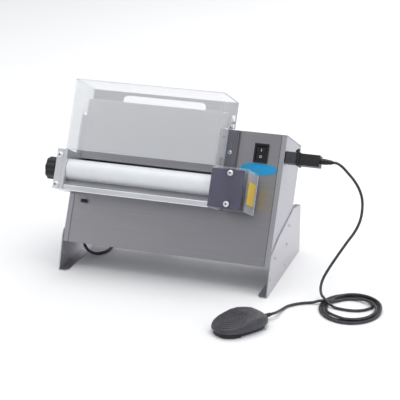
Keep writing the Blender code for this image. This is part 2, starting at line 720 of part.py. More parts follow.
def scrapers_and_tie(head, metal, aluminium, left_in, right_in):
    """Fixed blades under both rollers and the tie bar in front of them."""
    left = left_in + GAP
    right = right_in - GAP
    top = ROLLER_Z - ROLLER_RADIUS - 0.0008
    front = [(FRONT_AXIS_Y - 0.0185, top - 0.0122), (FRONT_AXIS_Y - 0.0165, top - 0.0122),
             (FRONT_AXIS_Y - 0.0025, top), (FRONT_AXIS_Y - 0.0045, top)]
    rear = [(REAR_AXIS_Y + 0.0180, top - 0.0060), (REAR_AXIS_Y + 0.0200, top - 0.0060),
            (REAR_AXIS_Y + 0.0080, top + 0.0010), (REAR_AXIS_Y + 0.0060, top + 0.0010)]
    plate("scraper_front", "yz", [front], left, right, metal, head)
    plate("scraper_rear", "yz", [rear], left, right, metal, head)
    box("tie_bar", (left, BLOCK_FRONT, BLOCK_LOW - 0.0020), (right, BLOCK_FRONT + 0.0060, BLOCK_LOW + 0.0095),
        aluminium, head, 0.0015)


def gear_case(head, slate, clear, right_in):
    """Slate front plate and the clear cover over the gears."""
    case_right = right_in + CASE_WIDTH
    front_in = CASE_FRONT + COVER_WALL + GAP
    face = box("gear_case_front", (right_in - 0.0006, front_in, BLOCK_LOW),
               (case_right - 0.0086, front_in + 0.0020, BLOCK_HIGH - 0.0050), slate, head)
    low = (right_in, CASE_FRONT + COVER_WALL / 2, BLOCK_LOW - 0.0030)
    high = (case_right, -0.0012, BLOCK_HIGH - COVER_WALL / 2)
    bm = box_bm(low, high)
    bm.normal_update()
    open_faces = [face for face in bm.faces
                  if face.normal.x < -0.9 or face.normal.y > 0.9 or face.normal.z < -0.9]
    bmesh.ops.delete(bm, geom=open_faces, context="FACES")
    cover = add_mesh("gear_cover", mesh_from(bm, "gear_cover"), clear, head)
    rounding = cover.modifiers.new("bends", "BEVEL")
    rounding.width = 0.004
    rounding.segments = 3
    shell = cover.modifiers.new("shell", "SOLIDIFY")
    shell.thickness = COVER_WALL
    shell.offset = 0.0
    shell.use_even_offset = True
    spots = [(CASE_SCREW_X, 0.0, z) for z in BLOCK_SCREW_Z]
    for piece, word in ((face, "face"), (cover, "cover")):
        holes = rod(f"cut_case_{word}", BLOCK_SHANK + GAP, CASE_FRONT - 0.001, front_in + 0.003, slate, head,
                    axis="y", sides=10, places=spots)
        combine(piece, holes, "DIFFERENCE")


COVER_WALL = 0.002
CASE_SCREW_X = BODY_WIDTH / 2 - 0.0832


def guard(head, clear, metal, steel, black):
    """Clear hinged guard with its steel back plate, magnet and hinge brackets, and the sensor channel."""
    wall = GUARD_WALL / 2
    left, right = GUARD_LEFT + wall, GUARD_RIGHT - wall
    front = GUARD_FRONT + wall
    radius = 0.006
    path = [(left, GUARD_REAR)]
    path += [p[:2] for p in bend_radius_points((left, front, 0), (left, 0, 0), (0, front, 0), radius, 4)]
    path += [p[:2] for p in bend_radius_points((right, front, 0), (0, front, 0), (right, 0, 0), radius, 4)]
    path += [(right, GUARD_REAR)]
    shell = folded_sheet("guard_shell", path, GUARD_LOW, GUARD_HIGH, clear, head, GUARD_WALL)
    step = HINGE_Z - 0.012
    combine(shell, box("cut_guard_step", (GUARD_LEFT - 0.01, -0.0030, GUARD_LOW - 0.01),
                       (GUARD_RIGHT + 0.01, GUARD_REAR + 0.01, step), clear, head), "DIFFERENCE")
    pivot = (0.0, HINGE_Y, HINGE_Z)
    combine(shell, rod("cut_guard_pivot", PIN_RADIUS + GAP, GUARD_LEFT - 0.01, GUARD_RIGHT + 0.01, clear, head,
                       sides=16, place=pivot), "DIFFERENCE")
    shift_origin(shell, Vector(pivot))
    inner_left = GUARD_LEFT + GUARD_WALL + GAP
    inner_right = GUARD_RIGHT - GUARD_WALL - GAP
    notch = HINGE_Z + 0.016
    lip = 0.0062
    outline = [(inner_left + lip, step + 0.0005), (inner_right - lip, step + 0.0005), (inner_right - lip, notch),
               (inner_right, notch), (inner_right, GUARD_HIGH - 0.0003), (inner_left, GUARD_HIGH - 0.0003),
               (inner_left, notch), (inner_left + lip, notch)]
    outlines = [[(x, z - HINGE_Z) for x, z in outline], [(x, z - HINGE_Z) for x, z in hand_slot()]]
    plate("guard_back_plate", "xz", outlines, GUARD_REAR - SHEET - HINGE_Y, GUARD_REAR - HINGE_Y, metal, head,
          place=pivot)
    box("guard_magnet", (inner_right - 0.0040, -0.0180 - HINGE_Y, GUARD_LOW + 0.0075 - HINGE_Z),
        (inner_right, -0.0080 - HINGE_Y, GUARD_LOW + 0.0225 - HINGE_Z), black, head, place=pivot)
    arc = [(HINGE_Y + 0.007 * math.cos(a), HINGE_Z + 0.001 + 0.007 * math.sin(a))
           for a in (math.pi * i / 6 for i in range(7))]
    base = BODY_HEIGHT + GAP
    outline = [(HINGE_Y - 0.009, base), (HINGE_Y + 0.009, base)] + arc
    inset = GUARD_WALL + 0.0012
    reach = 0.0022
    for word, outer, inward in (("left", GUARD_LEFT, 1), ("right", GUARD_RIGHT, -1)):
        near = outer + inward * inset
        low, high = sorted((near, near + inward * 0.002))
        bracket = plate(f"hinge_bracket_{word}", "yz", [outline], low, high, metal, head)
        low, high = sorted((outer - inward * reach, near + inward * 0.001))
        combine(bracket, rod(f"join_pin_{word}", PIN_RADIUS, low, high, steel, head, sides=16, place=pivot), "UNION")
    channel_left = GUARD_RIGHT + 0.0008
    channel_right = channel_left + 0.0225
    front_y = -0.0062
    path = [(channel_left + SHEET / 2, -GAP), (channel_left + SHEET / 2, front_y),
            (channel_right - SHEET / 2, front_y), (channel_right - SHEET / 2, -GAP)]
    folded_sheet("guard_channel", path, BLOCK_HIGH + 0.0015, BODY_HEIGHT - 0.0015, metal, head)
GRIP_LEFT = -BODY_WIDTH / 2 + 0.0700
GRIP_RIGHT = BODY_WIDTH / 2 - 0.1880
GRIP_LOW = BODY_HEIGHT + 0.0345
GRIP_HIGH = BODY_HEIGHT + 0.0547


def hand_slot():
    """Horizontal slot with round ends in the guard's back plate."""
    radius = (GRIP_HIGH - GRIP_LOW) / 2
    middle = (GRIP_HIGH + GRIP_LOW) / 2
    points = []
    for i in range(7):
        angle = -math.pi / 2 + math.pi * i / 6
        points.append((GRIP_RIGHT - radius + radius * math.cos(angle), middle + radius * math.sin(angle)))
    for i in range(7):
        angle = math.pi / 2 + math.pi * i / 6
        points.append((GRIP_LEFT + radius + radius * math.cos(angle), middle + radius * math.sin(angle)))
    return points


def shift_origin(obj, origin):
    """Moves an object's origin onto its joint axis without moving its shape."""
    obj.data.transform(Matrix.Translation(-origin))
    obj.location = Vector(obj.location) + origin


def switch(head, black, blue):
    """Rocker switch in its bezel, and the oval badge under it."""
    half_x, half_z = SWITCH_WIDE / 2, SWITCH_TALL / 2
    housing = box("switch_housing", (SWITCH_X - half_x, -0.0035, SWITCH_Z - half_z),
                  (SWITCH_X + half_x, -GAP, SWITCH_Z + half_z), black, head, 0.0008)
    inset = 0.0026
    combine(housing, box("join_switch_body", (SWITCH_X - half_x + inset, -0.0015, SWITCH_Z - half_z + inset),
                         (SWITCH_X + half_x - inset, 0.0240, SWITCH_Z + half_z - inset), black, head), "UNION")
    well_x, well_z = ROCKER_WIDE / 2 + 0.0006, ROCKER_TALL / 2 + 0.0008
    well = box("cut_rocker_well", (SWITCH_X - well_x, -0.010, SWITCH_Z - well_z),
               (SWITCH_X + well_x, 0.0120, SWITCH_Z + well_z), black, head)
    combine(housing, well, "DIFFERENCE")
    reach = ROCKER_TALL / 2 - 0.0006
    lean = math.radians(ROCKER_SWING / 2)
    shape = []
    for y, z in ((-0.0050, -reach), (-0.0030, 0.0), (-0.0050, reach), (0.0010, reach * 0.9), (0.0050, 0.0),
                 (0.0010, -reach * 0.9)):
        shape.append((y * math.cos(lean) - z * math.sin(lean), y * math.sin(lean) + z * math.cos(lean)))
    plate("switch_rocker", "yz", [shape], -ROCKER_WIDE / 2, ROCKER_WIDE / 2, black, head,
          place=(SWITCH_X, ROCKER_Y, SWITCH_Z))
    badge = [(BADGE_X + BADGE_WIDE / 2 * math.cos(a), BADGE_Z + BADGE_TALL / 2 * math.sin(a))
             for a in (2 * math.pi * i / 40 for i in range(40))]
    plate("badge", "xz", [badge], -GAP - 0.0005, -GAP, blue, head)


ROCKER_SWING = 14.0
ROCKER_Y = 0.0020
BADGE_X = BODY_WIDTH / 2 - 0.0485
BADGE_Z = BODY_HEIGHT - 0.0733
BADGE_WIDE = 0.0760
BADGE_TALL = 0.0240


def pedal_connector(head, black):
    """Socket on the right side panel with the pedal's plug, latch and relief in it."""
    wall = BODY_WIDTH / 2
    start = wall + GAP
    end = start + 0.0237
    socket = box("pedal_socket", (start, SOCKET_Y - 0.0135, SOCKET_Z - 0.0118),
                 (end, SOCKET_Y + 0.0135, SOCKET_Z + 0.0118), black, head, 0.0012)
    combine(socket, box("join_socket_stub", (wall - 0.015, SOCKET_Y - 0.0092, SOCKET_Z - 0.0075),
                        (start + 0.002, SOCKET_Y + 0.0092, SOCKET_Z + 0.0075), black, head), "UNION")
    plug = box("pedal_plug", (end + GAP, SOCKET_Y - 0.0160, SOCKET_Z - 0.0152),
               (end + 0.0050, SOCKET_Y + 0.0160, SOCKET_Z + 0.0135), black, head, 0.0008)
    plug_end = end + 0.0460
    combine(plug, box("join_plug_body", (end + 0.003, SOCKET_Y - 0.0125, SOCKET_Z - 0.0130),
                      (plug_end, SOCKET_Y + 0.0125, SOCKET_Z + 0.0105), black, head), "UNION")
    tip = plug_end + 0.0240
    profile = [(0.0, plug_end - 0.002), (0.0062, plug_end - 0.002), (0.0058, plug_end + 0.006),
               (PEDAL_CORD / 2 + 0.0011, tip), (0.0, tip)]
    combine(plug, turned("join_plug_relief", profile, black, head, sides=14, place=(0.0, SOCKET_Y, SOCKET_Z)),
            "UNION")
    latch = [(-0.0014, -0.0005), (0.0016, -0.0005), (0.0060, 0.0058), (0.0040, 0.0068), (-0.0014, 0.0022)]
    pivot = (end - 0.004, SOCKET_Y, SOCKET_Z + 0.0118 + 0.0020)
    plate("plug_latch", "xz", [latch], -0.0060, 0.0060, black, head, place=pivot)
    return upright_from_head(tip + GAP, SOCKET_Y, SOCKET_Z)


def feet(upright, metal):
    """Slanted foot plates with inward flanges at the table and at the rear top."""
    outline = [(FOOT_FRONT, 0.0), (FOOT_REAR, 0.0), (FOOT_REAR, 0.105), (0.178, 0.118), (0.164, 0.1145),
               (0.066, 0.098), (0.008, 0.079), (0.001, 0.069)]
    outer = BODY_WIDTH / 2 + GAP + FOOT_SHEET
    for side, word in ((-1, "left"), (1, "right")):
        holes = [circle(spot, 0.0022, 10) for spot in FOOT_HOLES]
        low, high = sorted((side * outer, side * (outer - FOOT_SHEET)))
        foot = plate(f"foot_{word}", "yz", [outline] + holes, low, high, metal, upright)
        tip = outer - FOOT_FLANGE
        flange = [(side * outer, FOOT_FRONT), (side * (tip + 0.006), FOOT_FRONT), (side * tip, FOOT_FRONT + 0.008),
                  (side * tip, FOOT_REAR), (side * outer, FOOT_REAR)]
        combine(foot, plate(f"join_flange_{word}", "xy", [flange], 0.0, FOOT_SHEET, metal, upright), "UNION")
        start, end = sorted((side * outer, side * (outer - 0.012)))
        rise = math.atan2(0.105 - 0.118, FOOT_REAR - 0.178)
        cap_length = math.hypot(0.118 - 0.105, FOOT_REAR - 0.178)
        cap = box(f"join_cap_{word}", (start, 0.0, -FOOT_SHEET), (end, cap_length, 0.0), metal, upright,
                  place=(0.0, 0.178, 0.118), turn=(rise, 0.0, 0.0))
        combine(foot, cap, "UNION")


def screws(head, steel):
    """Four large screws on the end block and the gear case."""
    spots = [(BLOCK_SCREW_X, BLOCK_FRONT - GAP, z) for z in BLOCK_SCREW_Z]
    spots += [(CASE_SCREW_X, CASE_FRONT - GAP, z) for z in BLOCK_SCREW_Z]
    names = ("block_screw_lower", "block_screw_upper", "case_screw_lower", "case_screw_upper")
    copies(names, screw_mesh(BLOCK_HEAD, BLOCK_SHANK, BLOCK_LENGTH), spots, steel, head, AXIS_TURN["-y"])


def pedal_ring(length, width, count, squareness=2.6):
    """Superellipse outline, blunt like a computer mouse."""
    points = []
    for i in range(count):
        angle = 2 * math.pi * i / count
        c, s = math.cos(angle), math.sin(angle)
        x = math.copysign(abs(c) ** (2 / squareness), c) * length / 2
        y = math.copysign(abs(s) ** (2 / squareness), s) * width / 2
        points.append((x, y))
    return points


def pedal_top(x):
    """Height of the treadle's crown along its length: low at the toe, highest near the middle."""
    guides = ((-0.0565, 0.0180), (-0.0300, 0.0250), (0.0, 0.0305), (0.0140, 0.0310), (0.0400, 0.0270), (0.0565, 0.0200))
    for (x0, z0), (x1, z1) in zip(guides, guides[1:]):
        if x <= x1:
            share = min(max((x - x0) / (x1 - x0), 0.0), 1.0)
            return z0 + (z1 - z0) * share
    return guides[-1][1]


def treadle_mesh():
    """Hollow domed cover, lofted from its rim up to its crown, with the inside a wall's thickness in."""
    count = 28
    rim = 0.0095
    bm = bmesh.new()

    def ring(shrink, lift, inward, under):
        verts = []
        outline = pedal_ring((PEDAL_LENGTH - 2 * inward) * shrink, (PEDAL_WIDTH - 2 * inward) * shrink, count)
        for x, y in outline:
            crown = pedal_top(x) - 0.0022 * (2 * y / PEDAL_WIDTH) ** 2
            z = rim + (crown - rim) * lift - under
            verts.append(bm.verts.new((x, y, z)))
        return verts

    outer = [ring(1.0, 0.0, 0.0, 0.0), ring(1.0, 0.45, 0.0, 0.0), ring(0.965, 0.80, 0.0, 0.0),
             ring(0.88, 0.97, 0.0, 0.0), ring(0.62, 1.0, 0.0, 0.0), ring(0.30, 1.0, 0.0, 0.0)]
    inner = [ring(0.28, 1.0, PEDAL_WALL, PEDAL_WALL), ring(0.62, 1.0, PEDAL_WALL, PEDAL_WALL),
             ring(0.90, 0.90, PEDAL_WALL, PEDAL_WALL), ring(1.0, 0.45, PEDAL_WALL, 0.0),
             ring(1.0, 0.0, PEDAL_WALL, 0.0)]
    rings = outer + inner
    for first, second in zip(rings, rings[1:]):
        if first is outer[-1]:
            continue
        bridge(bm, first, second)
    bridge(bm, inner[-1], outer[0])
    bm.faces.new(outer[-1])
    bm.faces.new(list(reversed(inner[0])))
    return mesh_from(bm, "pedal_treadle")


def pedal(upright, black, dark, steel, ground):
    """Foot pedal: base with lugs, hinged treadle, pin, spring, switch, plate and cord relief."""
    frame = add_empty("pedal_frame", ground + PEDAL_OFFSET, (0.0, 0.0, PEDAL_HEADING), upright)
    base_outline = [(x - 0.001, y) for x, y in pedal_ring(PEDAL_LENGTH - 0.0090, PEDAL_WIDTH - 0.0085, 28)]
    base = plate("pedal_base", "xy", [base_outline], 0.0, 0.0062, black, frame)
    combine(base, box("cut_base_plate", (-0.0205, -0.05, -0.001), (0.0385, 0.05, 0.0026), black, frame), "DIFFERENCE")
    pin = (PEDAL_PIN_X, 0.0, PEDAL_PIN_Z)
    lugs = [((PEDAL_PIN_X - 0.0040, y - LUG_THICK / 2, 0.0050),
             (PEDAL_PIN_X + 0.0040, y + LUG_THICK / 2, PEDAL_PIN_Z + 0.0038)) for y in (-LUG_Y, LUG_Y)]
    combine(base, boxes("join_lugs", lugs, black, frame), "UNION")
    combine(base, rod("cut_lug_holes", STUB_RADIUS + GAP, -0.030, 0.030, black, frame, axis="y", sides=12,
                      place=pin), "DIFFERENCE")
    seat = box("join_relief_seat", (0.0455, -0.0056, 0.0050), (0.0517, 0.0056, 0.0160), black, frame)
    combine(base, seat, "UNION")
    profile = [(0.0, 0.0505), (0.0050, 0.0505), (PEDAL_CORD / 2 + 0.0009, RELIEF_END), (0.0, RELIEF_END)]
    combine(base, turned("join_relief", profile, black, frame, sides=12, place=(0.0, 0.0, PEDAL_CORD_Z)), "UNION")
    box("pedal_base_plate", (-0.0200, -0.0335, 0.0), (0.0380, 0.0335, 0.0022), steel, frame)
    treadle = add_mesh("pedal_treadle", treadle_mesh(), dark, frame)
    rib_y = LUG_Y + LUG_THICK / 2 + 0.0040
    ribs = [((PEDAL_PIN_X - 0.0035, y - 0.0012, PEDAL_PIN_Z - 0.0035), (PEDAL_PIN_X + 0.0035, y + 0.0012, 0.0228))
            for y in (-rib_y, rib_y)]
    combine(treadle, boxes("join_ribs", ribs, dark, frame), "UNION")
    inner = LUG_Y - LUG_THICK / 2
    stubs = [(PEDAL_PIN_X, side * (inner + rib_y) / 2, PEDAL_PIN_Z) for side in (-1, 1)]
    half = (rib_y - inner) / 2
    combine(treadle, rod("join_stubs", STUB_RADIUS, -half, half, dark, frame, axis="y", sides=12, places=stubs),
            "UNION")
    combine(treadle, box("cut_cord_notch", (0.045, -0.0062, 0.0), (0.070, 0.0062, 0.0168), dark, frame),
            "DIFFERENCE")
    shift_origin(treadle, Vector(pin))
    box("pedal_microswitch", (-0.0020, -0.0030, 0.0066), (0.0180, 0.0030, 0.0166), black, frame, 0.0005)
    steps = SPRING_TURNS * 10
    coil = []
    for i in range(steps + 1):
        angle = 2 * math.pi * i / 10
        coil.append(Vector((SPRING_X + SPRING_RADIUS * math.cos(angle), SPRING_RADIUS * math.sin(angle),
                            SPRING_LOW + SPRING_RISE * i / steps)))
    wire("pedal_spring", coil, 0.0010, steel, frame, 1)
    heel = frame.matrix_basis @ Vector((RELIEF_END + GAP, 0.0, PEDAL_CORD_Z))
    return heel, frame.matrix_basis.to_3x3() @ Vector((1.0, 0.0, 0.0))


LUG_Y = 0.0180
LUG_THICK = 0.0030
STUB_RADIUS = 0.0015
RELIEF_END = 0.0720
SPRING_TURNS = 4
SPRING_X = -0.0200
SPRING_RADIUS = 0.0045
SPRING_LOW = 0.0072
SPRING_RISE = 0.0162
PEDAL_CORD_Z = 0.0105


def ring_solid(name, centre, radius, half_width, height, material, parent):
    """Outer shape of a round coil lying flat."""
    profile = [(radius - half_width, 0.0), (radius + half_width - 0.001, 0.0), (radius + half_width, 0.001),
               (radius + half_width, height - 0.002), (radius + half_width - 0.002, height),
               (radius - half_width, height)]
    return turned(name, profile, material, parent, "z", 32, place=centre)


PEDAL_COIL = Vector((0.0737, -0.1310, 0.0))
PEDAL_COIL_RADIUS = 0.0540
PEDAL_COIL_HALF = 0.0105
PEDAL_COIL_HEIGHT = 0.0140
MAINS_COIL = Vector((-BODY_WIDTH / 2 + 0.1100, 0.2220, 0.0))
MAINS_COIL_RADIUS = 0.0374
MAINS_COIL_HALF = 0.0144
MAINS_COIL_HEIGHT = 0.0130

PEDAL_DROP_ROUTE = (
    (0.0187, -0.0001, 0.976), (0.0317, -0.0010, 0.927), (0.0447, -0.0030, 0.874), (0.0557, -0.0060, 0.813),
    (0.0632, -0.0100, 0.744), (0.0662, -0.0160, 0.667), (0.0647, -0.0240, 0.573), (0.0572, -0.0335, 0.488),
    (0.0447, -0.0450, 0.407), (0.0297, -0.0600, 0.305), (0.0157, -0.0750, 0.203), (0.0082, -0.0860, 0.126),
    (0.0065, -0.0950, 0.071), (0.0079, -0.1005, 0.047), (0.0097, -0.1050, 0.035),
)
PEDAL_TAIL_ROUTE = (
    (0.0089, -0.1280, 0.0030), (-0.0023, -0.1295, 0.0030), (-0.0173, -0.1365, 0.0030), (-0.0313, -0.1470, 0.0030),
    (-0.0433, -0.1610, 0.0030), (-0.0483, -0.1770, 0.0036), (-0.0503, -0.1900, 0.0058),
)
MAINS_DROP_ROUTE = (
    (0.0016, -0.0015, 0.640), (0.0057, -0.0012, 0.395), (0.0130, 0.0010, 0.170),
    (0.0212, 0.0048, 0.047), (0.0300, 0.0112, 0.0), (0.0372, 0.0200, 0.0), (0.0410, 0.0310, 0.0),
    (0.0416, 0.0430, 0.0), (0.0412, 0.0600, 0.0), (0.0420, 0.0800, 0.0), (0.0463, 0.0934, 0.0),
    (0.0550, 0.1028, 0.0), (0.0650, 0.1068, 0.0),
)


def cords(upright, floor, rubber, steel, plug_exit, heel, heel_way):
    """Pedal cord, mains lead, their coils, the mains gland and the mains plug."""
    ground = Vector((plug_exit.x, plug_exit.y, 0.0))
    lying = PEDAL_CORD / 2 + GAP
    route = [plug_exit, plug_exit + Vector((0.008, 0.0, -0.0002))]
    for along, back, share in PEDAL_DROP_ROUTE:
        route.append(ground + Vector((along, back, lying + (plug_exit.z - lying) * share)))
    wire("pedal_cord_drop", smooth_route(route, 1.5 * PEDAL_CORD), PEDAL_CORD, rubber, upright)
    ring_solid("pedal_cord_coil", ground + PEDAL_COIL, PEDAL_COIL_RADIUS, PEDAL_COIL_HALF, PEDAL_COIL_HEIGHT,
               rubber, upright)
    route = [ground + Vector(p) for p in PEDAL_TAIL_ROUTE] + [heel + heel_way * 0.012, heel]
    wire("pedal_cord_tail", smooth_route(route, 1.5 * PEDAL_CORD), PEDAL_CORD, rubber, upright)
    collar = -0.0055
    tip = collar - 0.0240
    profile = [(0.0, tip), (MAINS_CORD / 2 + 0.0004, tip), (0.0060, collar), (0.0085, collar), (0.0085, -GAP),
               (GLAND_THREAD, -GAP), (GLAND_THREAD, 0.008), (0.0, 0.008)]
    turned("mains_gland", profile, rubber, floor, "z", 16, place=(GLAND_X, GLAND_Y, 0.0))
    exit_head = Matrix.Rotation(BOTTOM_SLOPE, 3, "X") @ Vector((GLAND_X, GLAND_Y, tip - GAP))
    exit_point = upright_from_head(exit_head.x, exit_head.y + SHEET + GAP, exit_head.z + BOTTOM_RECESS)
    floor_z = MAINS_CORD / 2 + GAP
    way = Matrix.Rotation(BOTTOM_SLOPE - TILT, 3, "X") @ Vector((0.0, 0.0, -1.0))
    route = [exit_point, exit_point + way * 0.006]
    for along, back, share in MAINS_DROP_ROUTE:
        route.append(Vector((exit_point.x + along, exit_point.y + back, floor_z + (exit_point.z - floor_z) * share)))
    wire("mains_cord_drop", smooth_route(route, 0.9 * MAINS_CORD), MAINS_CORD, rubber, upright)
    ring_solid("mains_cord_coil", MAINS_COIL, MAINS_COIL_RADIUS, MAINS_COIL_HALF, MAINS_COIL_HEIGHT, rubber, upright)
    outer = MAINS_COIL_RADIUS + MAINS_COIL_HALF
    line_y = MAINS_COIL[1] - outer + MAINS_CORD / 2
    relief = MAINS_COIL[0] + math.sqrt(outer ** 2 - (outer - MAINS_CORD - 0.0004) ** 2) + GAP
    shoulder = relief + 0.0250
    front = shoulder + 0.0340
    place = (0.0, line_y, PLUG_RADIUS)
    profile = [(0.0, relief), (MAINS_CORD / 2 + 0.0004, relief), (0.0065, shoulder), (0.0100, shoulder),
               (0.0150, shoulder + 0.010), (PLUG_RADIUS, shoulder + 0.014), (PLUG_RADIUS, front), (0.0, front)]
    plug = turned("mains_plug", profile, rubber, upright, sides=24, place=place)
    spots = [(0.0, y, 0.0) for y in (-0.0095, 0.0095)]
    combine(plug, rod("join_pins", 0.0024, front - 0.002, front + 0.019, steel, upright, sides=10, places=spots,
                      place=place), "UNION")


PLUG_RADIUS = 0.0180


def build():
    """Clears the scene and makes every part."""
    for obj in list(bpy.data.objects):
        bpy.data.objects.remove(obj)
    bpy.context.scene.collection.children.link(collection)
    bpy.context.scene.collection.children.link(cutters)
    stainless = finish("brushed_stainless", "B4B5B8", 1.0, 0.32)
    aluminium = finish("anodised_aluminium", "C9CCD2", 1.0, 0.4)
    slate = finish("slate_anodised", "666A78", 0.6, 0.4)
    steel = finish("bright_steel", "C0C2C4", 1.0, 0.25)
    clear = finish("clear_polycarbonate", "EEF2F5", 0.0, 0.05, 0.25)
    pom = finish("white_acetal", "E9ECEC", 0.0, 0.35)
    black = finish("black_plastic", "1C1C1F", 0.0, 0.45)
    dark = finish("pedal_plastic", "3A3A40", 0.0, 0.5)
    grey = finish("grey_casting", "83878C", 0.4, 0.55)
    blue = finish("blue_badge", "188CBE", 0.0, 0.3)
    board = finish("circuit_board", "1E5A36", 0.0, 0.5)
    rubber = finish("cord_rubber", "2A2A2E", 0.0, 0.55)
    upright = add_empty("upright_frame", MACHINE_PLACE)
    head = add_empty("head_frame", (0.0, 0.0, PANEL_LIFT), (-TILT, 0.0, 0.0), upright)
    side_panels(head, stainless)
    front_panel(head, stainless)
    floor = covers(head, stainless)
    left_out, left_in, right_in, right_out, knob_y = bearings(head, aluminium, pom)
    adjuster(head, steel, black, left_out, left_in, knob_y)
    drive, drive_phase, gear_start, shaft_end = rollers(head, pom, steel, left_out, right_out)
    drive_unit(head, steel, grey, black, board, drive, drive_phase, gear_start, right_in, shaft_end)
    scrapers_and_tie(head, stainless, aluminium, left_in, right_in)
    gear_case(head, slate, clear, right_in)
    guard(head, clear, stainless, steel, black)
    switch(head, black, blue)
    plug_exit = pedal_connector(head, black)
    feet(upright, stainless)
    screws(head, steel)
    heel, heel_way = pedal(upright, black, dark, steel, Vector((plug_exit.x, plug_exit.y, 0.0)))
    cords(upright, floor, rubber, steel, plug_exit, heel, heel_way)


build()
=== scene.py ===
import math

import bmesh
import bpy
from mathutils import Matrix, Vector
from mathutils.bvhtree import BVHTree


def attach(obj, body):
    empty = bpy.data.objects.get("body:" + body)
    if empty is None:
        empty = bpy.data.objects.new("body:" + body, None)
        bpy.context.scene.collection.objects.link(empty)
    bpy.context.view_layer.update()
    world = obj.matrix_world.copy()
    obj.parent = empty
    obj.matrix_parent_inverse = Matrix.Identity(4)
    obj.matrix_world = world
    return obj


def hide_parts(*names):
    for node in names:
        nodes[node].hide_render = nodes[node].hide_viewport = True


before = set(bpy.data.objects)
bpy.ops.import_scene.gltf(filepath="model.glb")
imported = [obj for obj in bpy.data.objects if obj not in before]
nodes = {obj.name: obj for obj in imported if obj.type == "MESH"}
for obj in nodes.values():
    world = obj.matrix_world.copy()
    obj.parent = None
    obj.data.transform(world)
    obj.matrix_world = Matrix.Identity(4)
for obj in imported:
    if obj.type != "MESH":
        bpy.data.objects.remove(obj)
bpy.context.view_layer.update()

# The machine's own frames: upright stands on the floor, head follows the tilted panel.
TILT = math.radians(26.5)
PLACE = Vector((0.0024, -0.0082, 0.0))
UPRIGHT = Matrix.Translation(PLACE)
HEAD = Matrix.Translation(PLACE + Vector((0.0, 0.0, 0.057))) @ Matrix.Rotation(-TILT, 4, "X")
HEAD_PLACE = tuple(HEAD.translation)
HEAD_TURN = (-TILT, 0.0, 0.0)
PEDAL_PLACE = Vector((0.2101, -0.1665, 0.0))
PEDAL_TURN = math.radians(53.0)
PEDAL = UPRIGHT @ Matrix.Translation(PEDAL_PLACE) @ Matrix.Rotation(PEDAL_TURN, 4, "Z")
UNDER_SLOPE = math.atan2(0.045, 0.130)
TIE_ANGLE = math.radians(150.0)
SIDEWAYS = Matrix.Rotation(math.radians(90.0), 4, "Y")
FORWARD = Matrix.Rotation(math.radians(90.0), 4, "X")

PEDAL_CORD = 0.0054
MAINS_CORD = 0.0064
LIFT = 0.0003


# ---------------------------------------------------------------- camera, floor and light


def make_camera():
    """Long lens in front and to the right, looking down a little."""
    data = bpy.data.cameras.new("camera")
    data.lens = 122.2
    data.sensor_width = 36.0
    data.clip_end = 60.0
    eye = bpy.data.objects.new("camera", data)
    place = Vector((0.8565, -2.3790, 1.1230))
    target = Vector((0.0935, -0.0531, 0.2))
    look = (target - place).to_track_quat("-Z", "Y").to_matrix().to_4x4()
    eye.matrix_world = Matrix.Translation(place) @ look @ Matrix.Rotation(math.radians(0.2), 4, "Z")
    bpy.context.scene.collection.objects.link(eye)
    bpy.context.scene.camera = eye


def make_floor(material):
    """Wide pale sweep: a floor that bends up into a back wall far behind."""
    bm = bmesh.new()
    bend_start, bend = 8.0, 2.0
    turns = [math.pi * i / 16 for i in range(1, 9)]
    line = [(-9.0, 0.0), (-3.0, 0.0), (0.0, 0.0), (3.0, 0.0), (bend_start, 0.0)]
    line += [(bend_start + bend * math.sin(a), bend - bend * math.cos(a)) for a in turns]
    line.append((bend_start + bend, 6.0))
    rows = [[bm.verts.new((x, y, z)) for x in (-9.0, 0.0, 9.0)] for y, z in line]
    for low, high in zip(rows, rows[1:]):
        for i in range(2):
            bm.faces.new((low[i], low[i + 1], high[i + 1], high[i]))
    floor = link(bm, "studio_floor", material)


def make_light(name, place, target, size, power, colour):
    """Soft box that looks at target."""
    data = bpy.data.lights.new(name, "AREA")
    data.shape = "RECTANGLE"
    data.size, data.size_y = size
    data.energy = power
    data.color = linear(colour)[:3]
    lamp = bpy.data.objects.new(name, data)
    place = Vector(place)
    look = (Vector(target) - place).to_track_quat("-Z", "Y").to_matrix().to_4x4()
    lamp.matrix_world = Matrix.Translation(place) @ look
    bpy.context.scene.collection.objects.link(lamp)


def make_studio():
    """Even pale surroundings with large soft boxes above, left, right and behind."""
    scene = bpy.context.scene
    scene.view_settings.view_transform = "Standard"
    world = bpy.data.worlds.new("studio")
    world.use_nodes = True
    world.node_tree.nodes["Background"].inputs["Color"].default_value = linear("F6F7F9")
    world.node_tree.nodes["Background"].inputs["Strength"].default_value = 0.60
    scene.world = world
    make_light("soft_box_top", (0.2, 0.4, 3.2), (0.0, 0.1, 0.0), (3.4, 3.0), 64.0, "FFFFFF")
    make_light("soft_box_left", (-2.4, -1.0, 1.9), (0.0, 0.0, 0.15), (1.6, 2.0), 7.0, "FBFCFF")
    make_light("soft_box_right", (2.6, -0.4, 2.2), (0.0, 0.0, 0.15), (1.6, 2.0), 14.0, "FFFFFF")
    make_light("soft_box_back", (0.8, 3.0, 1.6), (0.0, 0.2, 0.2), (2.6, 1.4), 18.0, "FFFFFF")


# ---------------------------------------------------------------- shapes


def linear(code):
    """Linear colour, with full alpha, of an sRGB hex code."""
    parts = [int(code[i:i + 2], 16) / 255 for i in (0, 2, 4)]
    return tuple(p / 12.92 if p <= 0.04045 else ((p + 0.055) / 1.055) ** 2.4 for p in parts) + (1.0,)


